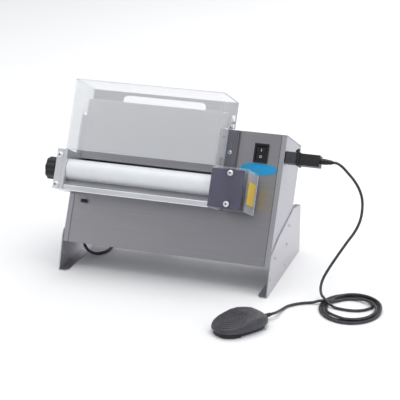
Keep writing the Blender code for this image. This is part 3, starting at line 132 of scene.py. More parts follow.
def link(bm, name, material, smooth=True):
    """Turns a bmesh into an object with the material."""
    bmesh.ops.recalc_face_normals(bm, faces=bm.faces[:])
    mesh = bpy.data.meshes.new(name)
    bm.to_mesh(mesh)
    bm.free()
    if material:
        mesh.materials.append(material)
    if smooth:
        mesh.polygons.foreach_set("use_smooth", [True] * len(mesh.polygons))
    obj = bpy.data.objects.new(name, mesh)
    bpy.context.scene.collection.objects.link(obj)
    return obj


def smooth_route(points, spacing):
    """Evenly spaced points on a centripetal Catmull-Rom curve through the given ones."""
    points = [Vector(p) for p in points]
    guides = [2 * points[0] - points[1]] + points + [2 * points[-1] - points[-2]]
    dense = []
    for a, b, c, d in zip(guides, guides[1:], guides[2:], guides[3:]):
        k1 = math.sqrt((b - a).length)
        k2 = k1 + math.sqrt((c - b).length)
        k3 = k2 + math.sqrt((d - c).length)
        for i in range(16):
            t = k1 + (k2 - k1) * i / 16
            ab, bc, cd = a.lerp(b, t / k1), b.lerp(c, (t - k1) / (k2 - k1)), c.lerp(d, (t - k2) / (k3 - k2))
            low, high = ab.lerp(bc, t / k2), bc.lerp(cd, (t - k1) / (k3 - k1))
            dense.append(low.lerp(high, (t - k1) / (k2 - k1)))
    dense.append(points[-1])
    travelled = [0.0]
    for first, second in zip(dense, dense[1:]):
        travelled.append(travelled[-1] + (second - first).length)
    count = max(2, round(travelled[-1] / spacing))
    route, index = [], 0
    for i in range(count + 1):
        target = travelled[-1] * i / count
        while index < len(travelled) - 2 and travelled[index + 1] < target:
            index += 1
        share = (target - travelled[index]) / (travelled[index + 1] - travelled[index])
        route.append(dense[index].lerp(dense[index + 1], min(share, 1.0)))
    return route


def tube(name, points, radius, material, sides=12):
    """Round tube along points. Its UV runs in metres along it and round it."""
    bm = bmesh.new()
    uv = bm.loops.layers.uv.new("along")
    rings, marks, side, travelled = [], [], None, 0.0
    last = len(points) - 1
    for i, point in enumerate(points):
        ahead = (points[min(i + 1, last)] - points[max(i - 1, 0)]).normalized()
        side = ahead.orthogonal() if side is None else side - ahead * side.dot(ahead)
        side.normalize()
        up = ahead.cross(side)
        size = radius[i] if isinstance(radius, list) else radius
        turns = [2 * math.pi * k / sides for k in range(sides)]
        rings.append([bm.verts.new(point + (side * math.cos(a) + up * math.sin(a)) * size) for a in turns])
        travelled += (point - points[max(i - 1, 0)]).length
        marks.append(travelled)
    for i in range(last):
        for k in range(sides):
            j = (k + 1) % sides
            face = bm.faces.new((rings[i][k], rings[i][j], rings[i + 1][j], rings[i + 1][k]))
            spots = ((i, k), (i, k + 1), (i + 1, k + 1), (i + 1, k))
            for loop, (along, round_it) in zip(face.loops, spots):
                loop[uv].uv = (marks[along], round_it / sides)
    bm.faces.new(list(reversed(rings[0])))
    bm.faces.new(rings[-1])
    return link(bm, name, material)


def lathe(bm, profile, frame_of, sides=24, slot=0):
    """Adds a solid turned about the frame's z from (radius, height) pairs."""
    rings = []
    for radius, height in profile:
        if radius < 1e-6:
            rings.append([bm.verts.new(frame_of @ Vector((0.0, 0.0, height)))])
            continue
        turns = [2 * math.pi * k / sides for k in range(sides)]
        rings.append([bm.verts.new(frame_of @ Vector((radius * math.cos(a), radius * math.sin(a), height)))
                      for a in turns])
    for low, high in zip(rings, rings[1:]):
        for k in range(sides):
            corners = [low[k % len(low)], low[(k + 1) % len(low)], high[(k + 1) % len(high)],
                       high[k % len(high)]]
            face = bm.faces.new(list(dict.fromkeys(corners)))
            face.material_index = slot


def block(bm, low, high, frame_of, bevel=0.0, slot=0):
    """Adds a box with softened edges."""
    corners = [Vector((x, y, z)) for x in (low[0], high[0]) for y in (low[1], high[1])
               for z in (low[2], high[2])]
    verts = [bm.verts.new(frame_of @ c) for c in corners]
    rings = ((0, 1, 3, 2), (4, 6, 7, 5), (0, 4, 5, 1), (2, 3, 7, 6), (0, 2, 6, 4), (1, 5, 7, 3))
    faces = [bm.faces.new([verts[i] for i in ring]) for ring in rings]
    for face in faces:
        face.material_index = slot
    if bevel:
        edges = list({edge for face in faces for edge in face.edges})
        bmesh.ops.bevel(bm, geom=edges, offset=bevel, segments=2, affect="EDGES", profile=0.5,
                        material=slot)


def slab(bm, outline, low, high, frame_of, slot=0):
    """Adds a flat plate: the outline's (x, y) pairs between two heights of the frame's z."""
    bottom = [bm.verts.new(frame_of @ Vector((x, y, low))) for x, y in outline]
    top = [bm.verts.new(frame_of @ Vector((x, y, high))) for x, y in outline]
    count = len(outline)
    faces = [bm.faces.new(list(reversed(bottom))), bm.faces.new(top)]
    faces += [bm.faces.new((bottom[i], bottom[(i + 1) % count], top[(i + 1) % count], top[i]))
              for i in range(count)]
    for face in faces:
        face.material_index = slot


def rounded(half_wide, half_tall, corner, steps=5):
    """Outline of a rectangle with round corners, about the origin."""
    points = []
    for quarter, (sx, sy) in enumerate(((1, 1), (-1, 1), (-1, -1), (1, -1))):
        for i in range(steps + 1):
            angle = math.pi / 2 * (quarter + i / steps)
            points.append((sx * (half_wide - corner) + corner * math.cos(angle),
                           sy * (half_tall - corner) + corner * math.sin(angle)))
    return points


# ---------------------------------------------------------------- finishes


def add(tree, kind, feeds=None, **settings):
    """Adds a node with its settings. Each feed is a value or another node's output."""
    node = tree.nodes.new(kind)
    for name, value in settings.items():
        setattr(node, name, value)
    for key, feed in (feeds or {}).items():
        if isinstance(feed, bpy.types.NodeSocket):
            tree.links.new(feed, node.inputs[key])
        else:
            node.inputs[key].default_value = feed
    return node


def start(name, colour, metallic, roughness, **even):
    """A new material with its even values on the shader's own sockets."""
    material = bpy.data.materials.new(name)
    material.use_nodes = True
    tree = material.node_tree
    shader = tree.nodes["Principled BSDF"]
    shader.inputs["Base Color"].default_value = linear(colour)
    shader.inputs["Metallic"].default_value = metallic
    shader.inputs["Roughness"].default_value = roughness
    for key, value in even.items():
        shader.inputs[key.replace("_", " ")].default_value = value
    return material, tree, shader


def brushed_stainless(name, light, dark, grain, roughness, painted_light_slope=(0.0, 0.0, 0.5)):
    """Stainless sheet brushed on a belt: fine straight scratches that draw reflections out along the
    grain, with faint cloudy handling marks. The real scratches are about 0.1 mm wide, too fine to show,
    so they are drawn about 1 mm wide. fall paints light and shade into the colour: how far the sheet is
    painted lighter or darker per metre across and up it, a painted reflection and shade, and its tone, from
    0 dark to 1 light, at the middle of the low edge."""
    material, tree, shader = start(name, light, 1.0, roughness)
    place = add(tree, "ShaderNodeTexCoord")
    along = add(tree, "ShaderNodeMapping", {"Vector": place.outputs["Object"], "Location": HEAD_PLACE,
                                            "Rotation": HEAD_TURN, "Scale": grain}, vector_type="TEXTURE")
    scratch = add(tree, "ShaderNodeTexNoise", {"Vector": along.outputs[0], "Scale": 1.0, "Detail": 3.0,
                                               "Roughness": 0.6})
    cloud = add(tree, "ShaderNodeTexNoise", {"Vector": place.outputs["Object"], "Scale": 11.0,
                                             "Detail": 2.0})
    # Painted light: the sheet's tone is painted lighter or darker by where it lies on the sheet, standing
    # in for uneven reflections and shade.
    metres = add(tree, "ShaderNodeMapping", {"Vector": place.outputs["Object"], "Location": HEAD_PLACE,
                                             "Rotation": HEAD_TURN}, vector_type="TEXTURE")
    parts = add(tree, "ShaderNodeSeparateXYZ", {0: metres.outputs[0]})
    across = add(tree, "ShaderNodeMath", {0: parts.outputs[0], 1: painted_light_slope[0], 2: painted_light_slope[2]},
                 operation="MULTIPLY_ADD")
    painted_light_tone = add(tree, "ShaderNodeMath", {0: parts.outputs[2], 1: painted_light_slope[1], 2: across.outputs[0]},
                operation="MULTIPLY_ADD")
    streak = add(tree, "ShaderNodeMath", {0: scratch.outputs["Fac"], 1: 0.45, 2: -0.225},
                     operation="MULTIPLY_ADD")
    # The painted light and shade and the grain streaks together choose between the dark and light tones.
    share = add(tree, "ShaderNodeMath", {0: painted_light_tone.outputs[0], 1: streak.outputs[0]}, operation="ADD",
               use_clamp=True)
    colour = add(tree, "ShaderNodeMix", {0: share.outputs[0], 6: linear(dark), 7: linear(light)},
                 data_type="RGBA")
    rough = add(tree, "ShaderNodeMapRange", {"Value": scratch.outputs["Fac"], "From Min": 0.3,
                                             "From Max": 0.7,
                                             "To Min": roughness - 0.06, "To Max": roughness + 0.06})
    hazy = add(tree, "ShaderNodeMath", {0: cloud.outputs["Fac"], 1: 0.10, 2: rough.outputs[0]},
               operation="MULTIPLY_ADD")
    bump = add(tree, "ShaderNodeBump", {"Height": scratch.outputs["Fac"], "Strength": 0.25,
                                        "Distance": 0.0003})
    tree.links.new(colour.outputs[2], shader.inputs["Base Color"])
    tree.links.new(hazy.outputs[0], shader.inputs["Roughness"])
    tree.links.new(bump.outputs[0], shader.inputs["Normal"])
    return material


def anodised(name, light, dark, roughness):
    """Anodised aluminium plate, milled and bead blasted: an even satin skin with a very fine speckle.
    The blasted grit is about 0.2 mm and is drawn at 1.5 mm."""
    material, tree, shader = start(name, light, 0.85, roughness)
    place = add(tree, "ShaderNodeTexCoord")
    speckle = add(tree, "ShaderNodeTexNoise", {"Vector": place.outputs["Object"], "Scale": 650.0,
                                               "Detail": 2.0})
    cloud = add(tree, "ShaderNodeTexNoise", {"Vector": place.outputs["Object"], "Scale": 22.0,
                                             "Detail": 2.0})
    tone = add(tree, "ShaderNodeMath", {0: cloud.outputs["Fac"], 1: speckle.outputs["Fac"]},
               operation="MULTIPLY")
    share = add(tree, "ShaderNodeMapRange", {"Value": tone.outputs[0], "From Min": 0.1, "From Max": 0.4})
    colour = add(tree, "ShaderNodeMix", {0: share.outputs[0], 6: linear(dark), 7: linear(light)},
                 data_type="RGBA")
    bump = add(tree, "ShaderNodeBump", {"Height": speckle.outputs["Fac"], "Strength": 0.12,
                                        "Distance": 0.0002})
    tree.links.new(colour.outputs[2], shader.inputs["Base Color"])
    tree.links.new(bump.outputs[0], shader.inputs["Normal"])
    return material


def turned_steel(name, colour, roughness):
    """Bright plated steel, turned on a lathe: clean reflections broken by faint tool rings 0.8 mm apart."""
    material, tree, shader = start(name, colour, 1.0, roughness)
    place = add(tree, "ShaderNodeTexCoord")
    ring = add(tree, "ShaderNodeTexWave", {"Vector": place.outputs["Object"], "Scale": 200.0,
                                           "Distortion": 2.0,
                                           "Detail": 2.0}, wave_type="BANDS", bands_direction="X")
    cloud = add(tree, "ShaderNodeTexNoise", {"Vector": place.outputs["Object"], "Scale": 90.0,
                                             "Detail": 3.0})
    rough = add(tree, "ShaderNodeMapRange", {"Value": cloud.outputs["Fac"], "From Min": 0.3,
                                             "From Max": 0.7,
                                             "To Min": roughness - 0.05, "To Max": roughness + 0.10})
    bump = add(tree, "ShaderNodeBump", {"Height": ring.outputs["Fac"], "Strength": 0.10,
                                        "Distance": 0.0002})
    tree.links.new(rough.outputs[0], shader.inputs["Roughness"])
    tree.links.new(bump.outputs[0], shader.inputs["Normal"])
    return material


def moulded(name, colour, worn, roughness, grit=420.0, depth=0.0003, strength=0.35):
    """Moulded plastic with a spark-eroded skin: a fine leathery grain that breaks up its highlights.
    The grain is about 0.3 mm and is drawn at 1 to 2 mm."""
    material, tree, shader = start(name, colour, 0.0, roughness, IOR=1.5)
    place = add(tree, "ShaderNodeTexCoord")
    grain = add(tree, "ShaderNodeTexVoronoi", {"Vector": place.outputs["Object"], "Scale": grit},
                feature="SMOOTH_F1")
    cloud = add(tree, "ShaderNodeTexNoise", {"Vector": place.outputs["Object"], "Scale": 45.0,
                                             "Detail": 3.0})
    share = add(tree, "ShaderNodeMapRange", {"Value": cloud.outputs["Fac"], "From Min": 0.4,
                                             "From Max": 0.75})
    tint = add(tree, "ShaderNodeMix", {0: share.outputs[0], 6: linear(colour), 7: linear(worn)},
               data_type="RGBA")
    rough = add(tree, "ShaderNodeMapRange", {"Value": cloud.outputs["Fac"], "From Min": 0.3,
                                             "From Max": 0.7,
                                             "To Min": roughness - 0.07, "To Max": roughness + 0.07})
    bump = add(tree, "ShaderNodeBump", {"Height": grain.outputs["Distance"], "Strength": strength,
                                        "Distance": depth})
    tree.links.new(tint.outputs[2], shader.inputs["Base Color"])
    tree.links.new(rough.outputs[0], shader.inputs["Roughness"])
    tree.links.new(bump.outputs[0], shader.inputs["Normal"])
    return material


def white_acetal():
    """Turned food-grade acetal: bright white and waxy, with a soft sheen and faint lathe rings about
    2 mm apart."""
    material, tree, shader = start("white_acetal_turned", "ECEFF1", 0.0, 0.34, IOR=1.48,
                                   Subsurface_Weight=0.12,
                                   Subsurface_Scale=0.004)
    place = add(tree, "ShaderNodeTexCoord")
    ring = add(tree, "ShaderNodeTexWave", {"Vector": place.outputs["Object"], "Scale": 80.0,
                                           "Distortion": 1.5,
                                           "Detail": 2.0}, wave_type="BANDS", bands_direction="X")
    cloud = add(tree, "ShaderNodeTexNoise", {"Vector": place.outputs["Object"], "Scale": 30.0,
                                             "Detail": 2.0})
    tint = add(tree, "ShaderNodeMix", {0: cloud.outputs["Fac"], 6: linear("E6E9EC"), 7: linear("F1F3F4")},
               data_type="RGBA")
    bump = add(tree, "ShaderNodeBump", {"Height": ring.outputs["Fac"], "Strength": 0.08,
                                        "Distance": 0.0002})
    tree.links.new(tint.outputs[2], shader.inputs["Base Color"])
    tree.links.new(bump.outputs[0], shader.inputs["Normal"])
    return material


def clear_polycarbonate(name, thin, edge):
    """Clear polycarbonate sheet: all but unseen face on, paler and shinier where it turns away, with the
    faint haze that wiping leaves."""
    material, tree, shader = start(name, "F2F6FB", 0.0, 0.06, IOR=1.58)
    place = add(tree, "ShaderNodeTexCoord")
    haze = add(tree, "ShaderNodeTexNoise", {"Vector": place.outputs["Object"], "Scale": 26.0,
                                            "Detail": 3.0})
    facing = add(tree, "ShaderNodeLayerWeight", {"Blend": 0.30})
    turned = add(tree, "ShaderNodeMapRange", {"Value": facing.outputs["Facing"], "From Min": 0.15,
                                              "From Max": 0.95, "To Min": thin, "To Max": edge})
    cover = add(tree, "ShaderNodeMath", {0: haze.outputs["Fac"], 1: 0.03, 2: turned.outputs[0]},
                operation="MULTIPLY_ADD", use_clamp=True)
    rough = add(tree, "ShaderNodeMapRange", {"Value": haze.outputs["Fac"], "To Min": 0.03, "To Max": 0.12})
    tree.links.new(cover.outputs[0], shader.inputs["Alpha"])
    tree.links.new(rough.outputs[0], shader.inputs["Roughness"])
    return material


def cut_edge():
    """Sawn and polished edge of the clear sheet: the light it gathers is painted in as a flat pale
    blue-grey colour, a painted glint that shows as a pale line.
    """
    material, tree, shader = start("pale_painted_glint", "D5DBE6", 0.0, 0.25, IOR=1.58)
    place = add(tree, "ShaderNodeTexCoord")
    saw = add(tree, "ShaderNodeTexNoise", {"Vector": place.outputs["Object"], "Scale": 160.0,
                                           "Detail": 2.0})
    tint = add(tree, "ShaderNodeMix", {0: saw.outputs["Fac"], 6: linear("9EA4BC"), 7: linear("C9CDDC")},
               data_type="RGBA")
    tree.links.new(tint.outputs[2], shader.inputs["Base Color"])
    return material


def cord_rubber():
    """Extruded rubber sheath: matt black with shallow slanting ribs 3 mm apart and a dusty bloom."""
    material, tree, shader = start("extruded_rubber", "34343A", 0.0, 0.42, IOR=1.52)
    place = add(tree, "ShaderNodeTexCoord")
    lines = add(tree, "ShaderNodeMapping", {"Vector": place.outputs["UV"], "Scale": (333.0, 1.0, 1.0)})
    parts = add(tree, "ShaderNodeSeparateXYZ", {0: lines.outputs[0]})
    slant = add(tree, "ShaderNodeMath", {0: parts.outputs[0], 1: parts.outputs[1]}, operation="ADD")
    angle = add(tree, "ShaderNodeMath", {0: slant.outputs[0], 1: 2 * math.pi}, operation="MULTIPLY")
    rib = add(tree, "ShaderNodeMath", {0: angle.outputs[0]}, operation="SINE")
    dust = add(tree, "ShaderNodeTexNoise", {"Vector": place.outputs["Object"], "Scale": 120.0,
                                            "Detail": 3.0})
    share = add(tree, "ShaderNodeMapRange", {"Value": dust.outputs["Fac"], "From Min": 0.45,
                                             "From Max": 0.8})
    tint = add(tree, "ShaderNodeMix", {0: share.outputs[0], 6: linear("2E2E33"), 7: linear("4A4A50")},
               data_type="RGBA")
    bump = add(tree, "ShaderNodeBump", {"Height": rib.outputs[0], "Strength": 0.35, "Distance": 0.0003})
    tree.links.new(tint.outputs[2], shader.inputs["Base Color"])
    tree.links.new(bump.outputs[0], shader.inputs["Normal"])
    return material


def gloss_enamel(name, colour, deep):
    """Screen-printed, resin-domed plate: a saturated colour under a clear gloss skin."""
    material, tree, shader = start(name, colour, 0.0, 0.42, Coat_Weight=0.25, Coat_Roughness=0.12)
    place = add(tree, "ShaderNodeTexCoord")
    cloud = add(tree, "ShaderNodeTexNoise", {"Vector": place.outputs["Object"], "Scale": 60.0,
                                             "Detail": 3.0})
    tint = add(tree, "ShaderNodeMix", {0: cloud.outputs["Fac"], 6: linear(deep), 7: linear(colour)},
               data_type="RGBA")
    bump = add(tree, "ShaderNodeBump", {"Height": cloud.outputs["Fac"], "Strength": 0.05,
                                        "Distance": 0.0002})
    tree.links.new(tint.outputs[2], shader.inputs["Base Color"])
    tree.links.new(bump.outputs[0], shader.inputs["Normal"])
    return material


def circuit_board():
    """Fibreglass board under green solder resist: fine copper tracks 1.3 mm apart glint through it."""
    material, tree, shader = start("solder_resist_board", "1E5A36", 0.0, 0.35)
    place = add(tree, "ShaderNodeTexCoord")
    track = add(tree, "ShaderNodeTexBrick", {"Vector": place.outputs["Object"], "Color1": linear("1E5A36"),
                                             "Color2": linear("236A40"), "Mortar": linear("8FA05A"),
                                             "Scale": 120.0, "Mortar Size": 0.03})
    bump = add(tree, "ShaderNodeBump", {"Height": track.outputs["Fac"], "Strength": 0.2,
                                        "Distance": 0.0002})
    tree.links.new(track.outputs["Color"], shader.inputs["Base Color"])
    tree.links.new(bump.outputs[0], shader.inputs["Normal"])
    return material


def paper_floor():
    """Seamless paper: a neutral near-white with hardly any tooth."""
    material, tree, shader = start("studio_paper", "F7F7F8", 0.0, 0.8)
    place = add(tree, "ShaderNodeTexCoord")
    tooth = add(tree, "ShaderNodeTexNoise", {"Vector": place.outputs["Object"], "Scale": 3.0,
                                             "Detail": 2.0})
    tint = add(tree, "ShaderNodeMix", {0: tooth.outputs["Fac"], 6: linear("F6F6F7"), 7: linear("F9F9FA")},
               data_type="RGBA")
    tree.links.new(tint.outputs[2], shader.inputs["Base Color"])
    return material


ALONG_X = (0.150, 0.0011, 0.0011)
ALONG_Y = (0.0011, 0.120, 0.0011)
ALONG_Z = (0.0011, 0.0011, 0.120)
# Painted reflection and shade: the panel's tone is painted lighter to the left and darker to the right, and
# the guard plate's lighter to the right and darker to the left.
brushed_stainless("stainless_panel", "C4C3C7", "8C8B92", ALONG_X, 0.30, (-0.80, 0.0, 0.50))
side_steel = brushed_stainless("stainless_side", "BFC0C6", "AFB0B6", ALONG_Y, 0.34)
brushed_stainless("stainless_foot", "CFCFD3", "BBBABF", ALONG_Y, 0.36)
brushed_stainless("stainless_guard_plate", "A6A6AB", "7C7C83", ALONG_X, 0.32, (1.00, 0.0, 0.42))
channel_steel = brushed_stainless("stainless_channel", "8A8990", "6F6E76", ALONG_Z, 0.28)
anodised("anodised_plate", "EDEEF1", "DCDEE3", 0.36)
anodised("anodised_block", "EFF1F3", "E0E3E8", 0.34)
anodised("anodised_slate", "6C6B80", "605F73", 0.36)
bright_steel = turned_steel("bright_plated_steel", "D3D5D9", 0.20)
bolt_zinc = turned_steel("zinc_plated_bolt", "F4F6F8", 0.42)
moulded("cast_aluminium_grey", "83878C", "95999E", 0.5, grit=300.0, depth=0.0006)
black_nylon = moulded("black_nylon", "17171A", "232328", 0.42)
black_gloss = moulded("black_gloss_plastic", "0D0D10", "17171B", 0.22, strength=0.1)
pedal_black = moulded("pedal_black_plastic", "3B393F", "4A484F", 0.44, grit=500.0)
white_acetal()
# The guard shell arrives with a plain material that already has this name, and keeps it, so this
# finish reaches no piece.
clear_polycarbonate("clear_polycarbonate", -0.05, 0.14)
clear_polycarbonate("clear_polycarbonate_case", 0.0, 0.40)
painted_glint_edge = cut_edge()
rubber = cord_rubber()
gloss_enamel("gloss_blue_plate", "0A9ED8", "0790CA")
label_yellow = gloss_enamel("label_yellow", "E8C53A", "DDB62C")
mark_white = gloss_enamel("print_white", "E9EBEE", "D9DCE0")
# Painted shade: a near-black finish for screw recesses, shaded screw holes and dark seam lines, standing in
# for the shade in them.
painted_shade_dark = moulded("screw_recess_painted_shade", "2A2B2E", "3A3B3F", 0.5)
circuit_board()


# ---------------------------------------------------------------- cords


def polar(centre, degrees, radius, height):
    """Point on a loop, counter-clockwise from the right."""
    angle = math.radians(degrees)
    return Vector((centre[0] + radius * math.cos(angle), centre[1] + radius * math.sin(angle), height))


def pedal_cord():
    """The pedal's cord: out of the plug, over in one arc to the floor, three loose loops and on to
    the pedal."""
    centre, wide, deep = (0.3880, -0.0195), 0.97, 1.08
    low, middle, high = 0.0030, 0.0086, 0.0142
    exit_point = Vector((0.3143, 0.1130, 0.2489))
    route = [exit_point, exit_point + Vector((0.008, 0.0, -0.0002)), (0.3330, 0.1129, 0.2430),
             (0.3460, 0.1120, 0.2310), (0.3590, 0.1100, 0.2180), (0.3700, 0.1070, 0.2030),
             (0.3775, 0.1030, 0.1860), (0.3805, 0.0970, 0.1670), (0.3790, 0.0890, 0.1440),
             (0.3715, 0.0795, 0.1230), (0.3590, 0.0680, 0.1030), (0.3440, 0.0530, 0.0780),
             (0.3300, 0.0380, 0.0530), (0.3225, 0.0270, 0.0360), (0.3208, 0.0180, 0.0235),
             (0.3225, 0.0110, 0.0178), (0.3255, 0.0035, 0.0150), (0.3300, -0.0050, high),
             (0.3380, -0.0140, 0.0125), (0.3480, -0.0205, 0.0075), (0.3575, -0.0245, 0.0038),
             (0.3700, -0.0268, low),
             (0.3850, -0.0278, low), (0.3985, -0.0262, low), (0.4115, -0.0205, low), (0.4215, -0.0110, low)]
    loops = [(28, 0.0478, low), (48, 0.0500, low), (70, 0.0512, low), (92, 0.0518, low), (114, 0.0522, low),
             (136, 0.0526, low), (158, 0.0528, low), (180, 0.0528, low), (202, 0.0530, low),
             (224, 0.0534, low),
             (246, 0.0538, low), (268, 0.0542, low), (290, 0.0545, low), (312, 0.0550, low),
             (334, 0.0555, low),
             (356, 0.0560, low), (378, 0.0565, low), (400, 0.0570, low), (422, 0.0574, low),
             (444, 0.0578, low),
             (466, 0.0582, low), (488, 0.0585, low), (510, 0.0587, low), (532, 0.0588, low),
             (554, 0.0590, low),
             (576, 0.0592, low), (598, 0.0596, low), (620, 0.0600, low), (642, 0.0602, low),
             (664, 0.0606, low),
             (686, 0.0610, low), (706, 0.0614, 0.0036), (724, 0.0612, 0.0062), (742, 0.0600, middle),
             (764, 0.0575, middle), (786, 0.0545, middle), (808, 0.0515, middle), (830, 0.0487, middle),
             (852, 0.0470, 0.0074), (872, 0.0464, 0.0050), (892, 0.0465, 0.0032), (912, 0.0466, low),
             (932, 0.0470, 0.0034), (950, 0.0484, 0.0062), (968, 0.0515, middle), (990, 0.0545, middle),
             (1012, 0.0560, middle), (1034, 0.0565, middle), (1056, 0.0555, middle), (1078, 0.0530, middle),
             (1100, 0.0490, middle), (1120, 0.0452, 0.0084), (1140, 0.0425, 0.0064), (1160, 0.0410, 0.0044),
             (1180, 0.0402, 0.0034), (1200, 0.0395, low), (1220, 0.0392, 0.0034)]
    for degrees, radius, height in loops:
        point = polar((0.0, 0.0), degrees, radius, height)
        route.append(Vector((centre[0] + point.x * wide, centre[1] + point.y * deep, height)))
    route += [(0.3478, -0.0040, 0.0060), (0.3415, -0.0095, middle), (0.3330, -0.0125, middle),
              (0.3240, -0.0142, 0.0072), (0.3165, -0.0156, 0.0042), (0.3080, -0.0180, low),
              (0.2970, -0.0235, low),
              (0.2830, -0.0340, low), (0.2710, -0.0480, low), (0.2660, -0.0640, 0.0036),
              (0.2640, -0.0770, 0.0058)]
    way = Vector((math.cos(PEDAL_TURN), math.sin(PEDAL_TURN), 0.0))
    heel = PEDAL_PLACE + Vector((0.0, 0.0, 0.0105)) + way * 0.0723
    route += [heel + way * 0.012, heel]
    path = [UPRIGHT @ p for p in smooth_route(route, 0.0035)]
    flex = tube("pedal_flex", path, PEDAL_CORD / 2, rubber, 12)
    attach(flex, "housing")
    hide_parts("pedal_cord_drop", "pedal_cord_coil", "pedal_cord_tail")
    return flex, path


def mains_lead():
    """The mains lead: down from its gland, in behind the left foot and into a tied coil of seven turns."""
    centre = (-0.1100, 0.2220)
    turns, inner, outer = 7, 0.0262, 0.0486
    tip = Matrix.Rotation(UNDER_SLOPE, 3, "X") @ Vector((-0.2024, 0.0600, -0.0298))
    exit_point = HEAD @ Vector((tip.x, tip.y + 0.0018, tip.z + 0.0220)) - PLACE
    way = Matrix.Rotation(UNDER_SLOPE - TILT, 3, "X") @ Vector((0.0, 0.0, -1.0))
    low = MAINS_CORD / 2 + LIFT
    route = [exit_point, exit_point + way * 0.006]
    for along, back, share in ((0.0016, -0.0015, 0.640), (0.0057, -0.0012, 0.395), (0.0130, 0.0010, 0.170),
                               (0.0212, 0.0048, 0.047), (0.0300, 0.0112, 0.0), (0.0372, 0.0200, 0.0),
                               (0.0410, 0.0310, 0.0), (0.0416, 0.0430, 0.0), (0.0412, 0.0600, 0.0),
                               (0.0420, 0.0800, 0.0), (0.0463, 0.0934, 0.0), (0.0550, 0.1028, 0.0),
                               (0.0650, 0.1068, 0.0)):
        route.append(exit_point + Vector((along, back, 0.0)))
        route[-1].z = low + (exit_point.z - low) * share
    steps = 20 * turns
    climb = 3
    for i in range(2, steps + 1):
        share = i / steps
        radius = inner + (outer - inner) * abs(1 - 2 * share)
        rise = min(max((i - steps / 2 + climb) / (2 * climb), 0.0), 1.0)
        level = low + MAINS_CORD * rise
        route.append(polar(centre, -90.0 + 360.0 * turns * share, radius, level))
    line = centre[1] - outer
    relief = -0.1100 + math.sqrt(0.0518 ** 2 - (0.0518 - 0.0068) ** 2) + LIFT
    route += [Vector((relief - 0.014, line, 0.0128)), Vector((relief - 0.006, line, 0.0166)),
              Vector((relief, line, 0.0180))]
    path = [UPRIGHT @ p for p in smooth_route(route, 0.0040)]
    lead = tube("mains_flex", path, MAINS_CORD / 2, rubber, 12)
    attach(lead, "housing")
    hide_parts("mains_cord_drop", "mains_cord_coil")
    bm = bmesh.new()
    band = [(0.0228, -0.0004), (0.0226, 0.0066), (0.0228, 0.0136), (0.0374, 0.0142), (0.0520, 0.0136),
            (0.0522, 0.0066), (0.0520, 0.0002)]
    half_wide, thick, middle = 0.006, 0.0009, 0.037
    spin = UPRIGHT @ Matrix.Translation((*centre, 0.0)) @ Matrix.Rotation(TIE_ANGLE, 4, "Z")
    lines = []
    for y, out in ((-half_wide, 0.0), (-half_wide, thick), (half_wide, thick), (half_wide, 0.0)):
        row = []
        for r, h in band:
            across = r + out if r > middle else r - out
            row.append(bm.verts.new(spin @ Vector((across, y, max(h + out, 0.0001)))))
        lines.append(row)
    for a, b in zip(lines, lines[1:] + lines[:1]):
        for i in range(len(band) - 1):
            bm.faces.new((a[i], a[i + 1], b[i + 1], b[i]))
    for i in (0, -1):
        bm.faces.new([row[i] for row in lines])
    tie = link(bm, "mains_tie", black_nylon)
    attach(tie, "housing")
    return lead, path, tie


make_camera()
flex, flex_path = pedal_cord()
lead, lead_path, tie = mains_lead()
make_floor(paper_floor())
make_studio()


# ---------------------------------------------------------------- finishes of the carried-over nodes

FINISHES = {
    "stainless_panel": ("front_panel", "scraper_front", "scraper_rear"),
    "stainless_side": ("side_panel_left", "side_panel_right", "top_cover", "rear_cover", "bottom_plate",
                       "hinge_bracket_left", "hinge_bracket_right"),
    "stainless_foot": ("foot_left", "foot_right"),
    "stainless_channel": ("guard_channel",),
    "stainless_guard_plate": ("guard_back_plate",),
    "anodised_plate": ("bearing_plate_left", "bearing_plate_right", "tie_bar"),
    "anodised_block": ("end_block_left",),
    "anodised_slate": ("gear_case_front",),
    "bright_plated_steel": ("front_shaft", "rear_shaft", "front_gear", "rear_gear", "drive_gear",
                            "drive_bracket",
                            "adjuster_shaft", "block_screw_lower", "block_screw_upper", "case_screw_lower",
                            "case_screw_upper", "pedal_spring"),
    # Painted reflection: the pedal's base plate takes the same flat pale finish, standing in for the bright
    # floor its edge reflects.
    "pale_painted_glint": ("pedal_base_plate",),
    "cast_aluminium_grey": ("gearbox", "motor"),
    "black_nylon": ("adjuster_knob", "guard_magnet", "motor_fan", "pedal_base", "pedal_microswitch",
                    "pedal_plug", "plug_latch", "mains_gland", "mains_plug"),
    "black_gloss_plastic": ("switch_housing", "switch_rocker"),
    "pedal_black_plastic": ("pedal_treadle", "pedal_socket"),
    "white_acetal_turned": ("front_roller", "rear_roller", "carrier_left", "carrier_right"),
    "clear_polycarbonate": ("guard_shell",),
    "clear_polycarbonate_case": ("gear_cover",),
    "gloss_blue_plate": ("badge",),
    "solder_resist_board": ("control_board",),
}
for finish, names in FINISHES.items():
    for name in names:
        slots = nodes[name].data.materials
        for i in range(len(slots)):
            slots[i] = bpy.data.materials[finish]


# ---------------------------------------------------------------- small pieces


def screws(name, spots, body, head=0.0034, tall=0.0016, material=bright_steel):
    """Domed screw heads with a cross recess drawn as a raised near-black cross, painted shade in place of a
    cut recess. Each spot is a frame whose z points out of the sheet.
    """
    bm = bmesh.new()
    for spot in spots:
        lathe(bm, [(0.0, 0.0), (head, 0.0), (head, tall * 0.35), (head * 0.8, tall * 0.8),
                   (head * 0.35, tall),
                   (0.0, tall)], spot, 16)
        # Painted shade: two thin near-black boxes in the second slot stand in for the shaded recess.
        for across in ((0.55, 0.12), (0.12, 0.55)):
            block(bm, (-head * across[0], -head * across[1], tall * 0.6),
                  (head * across[0], head * across[1], tall + 0.00006), spot, 0.0, 1)
    piece = link(bm, name, material, False)
    piece.data.materials.append(painted_shade_dark)
    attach(piece, body)
    return piece


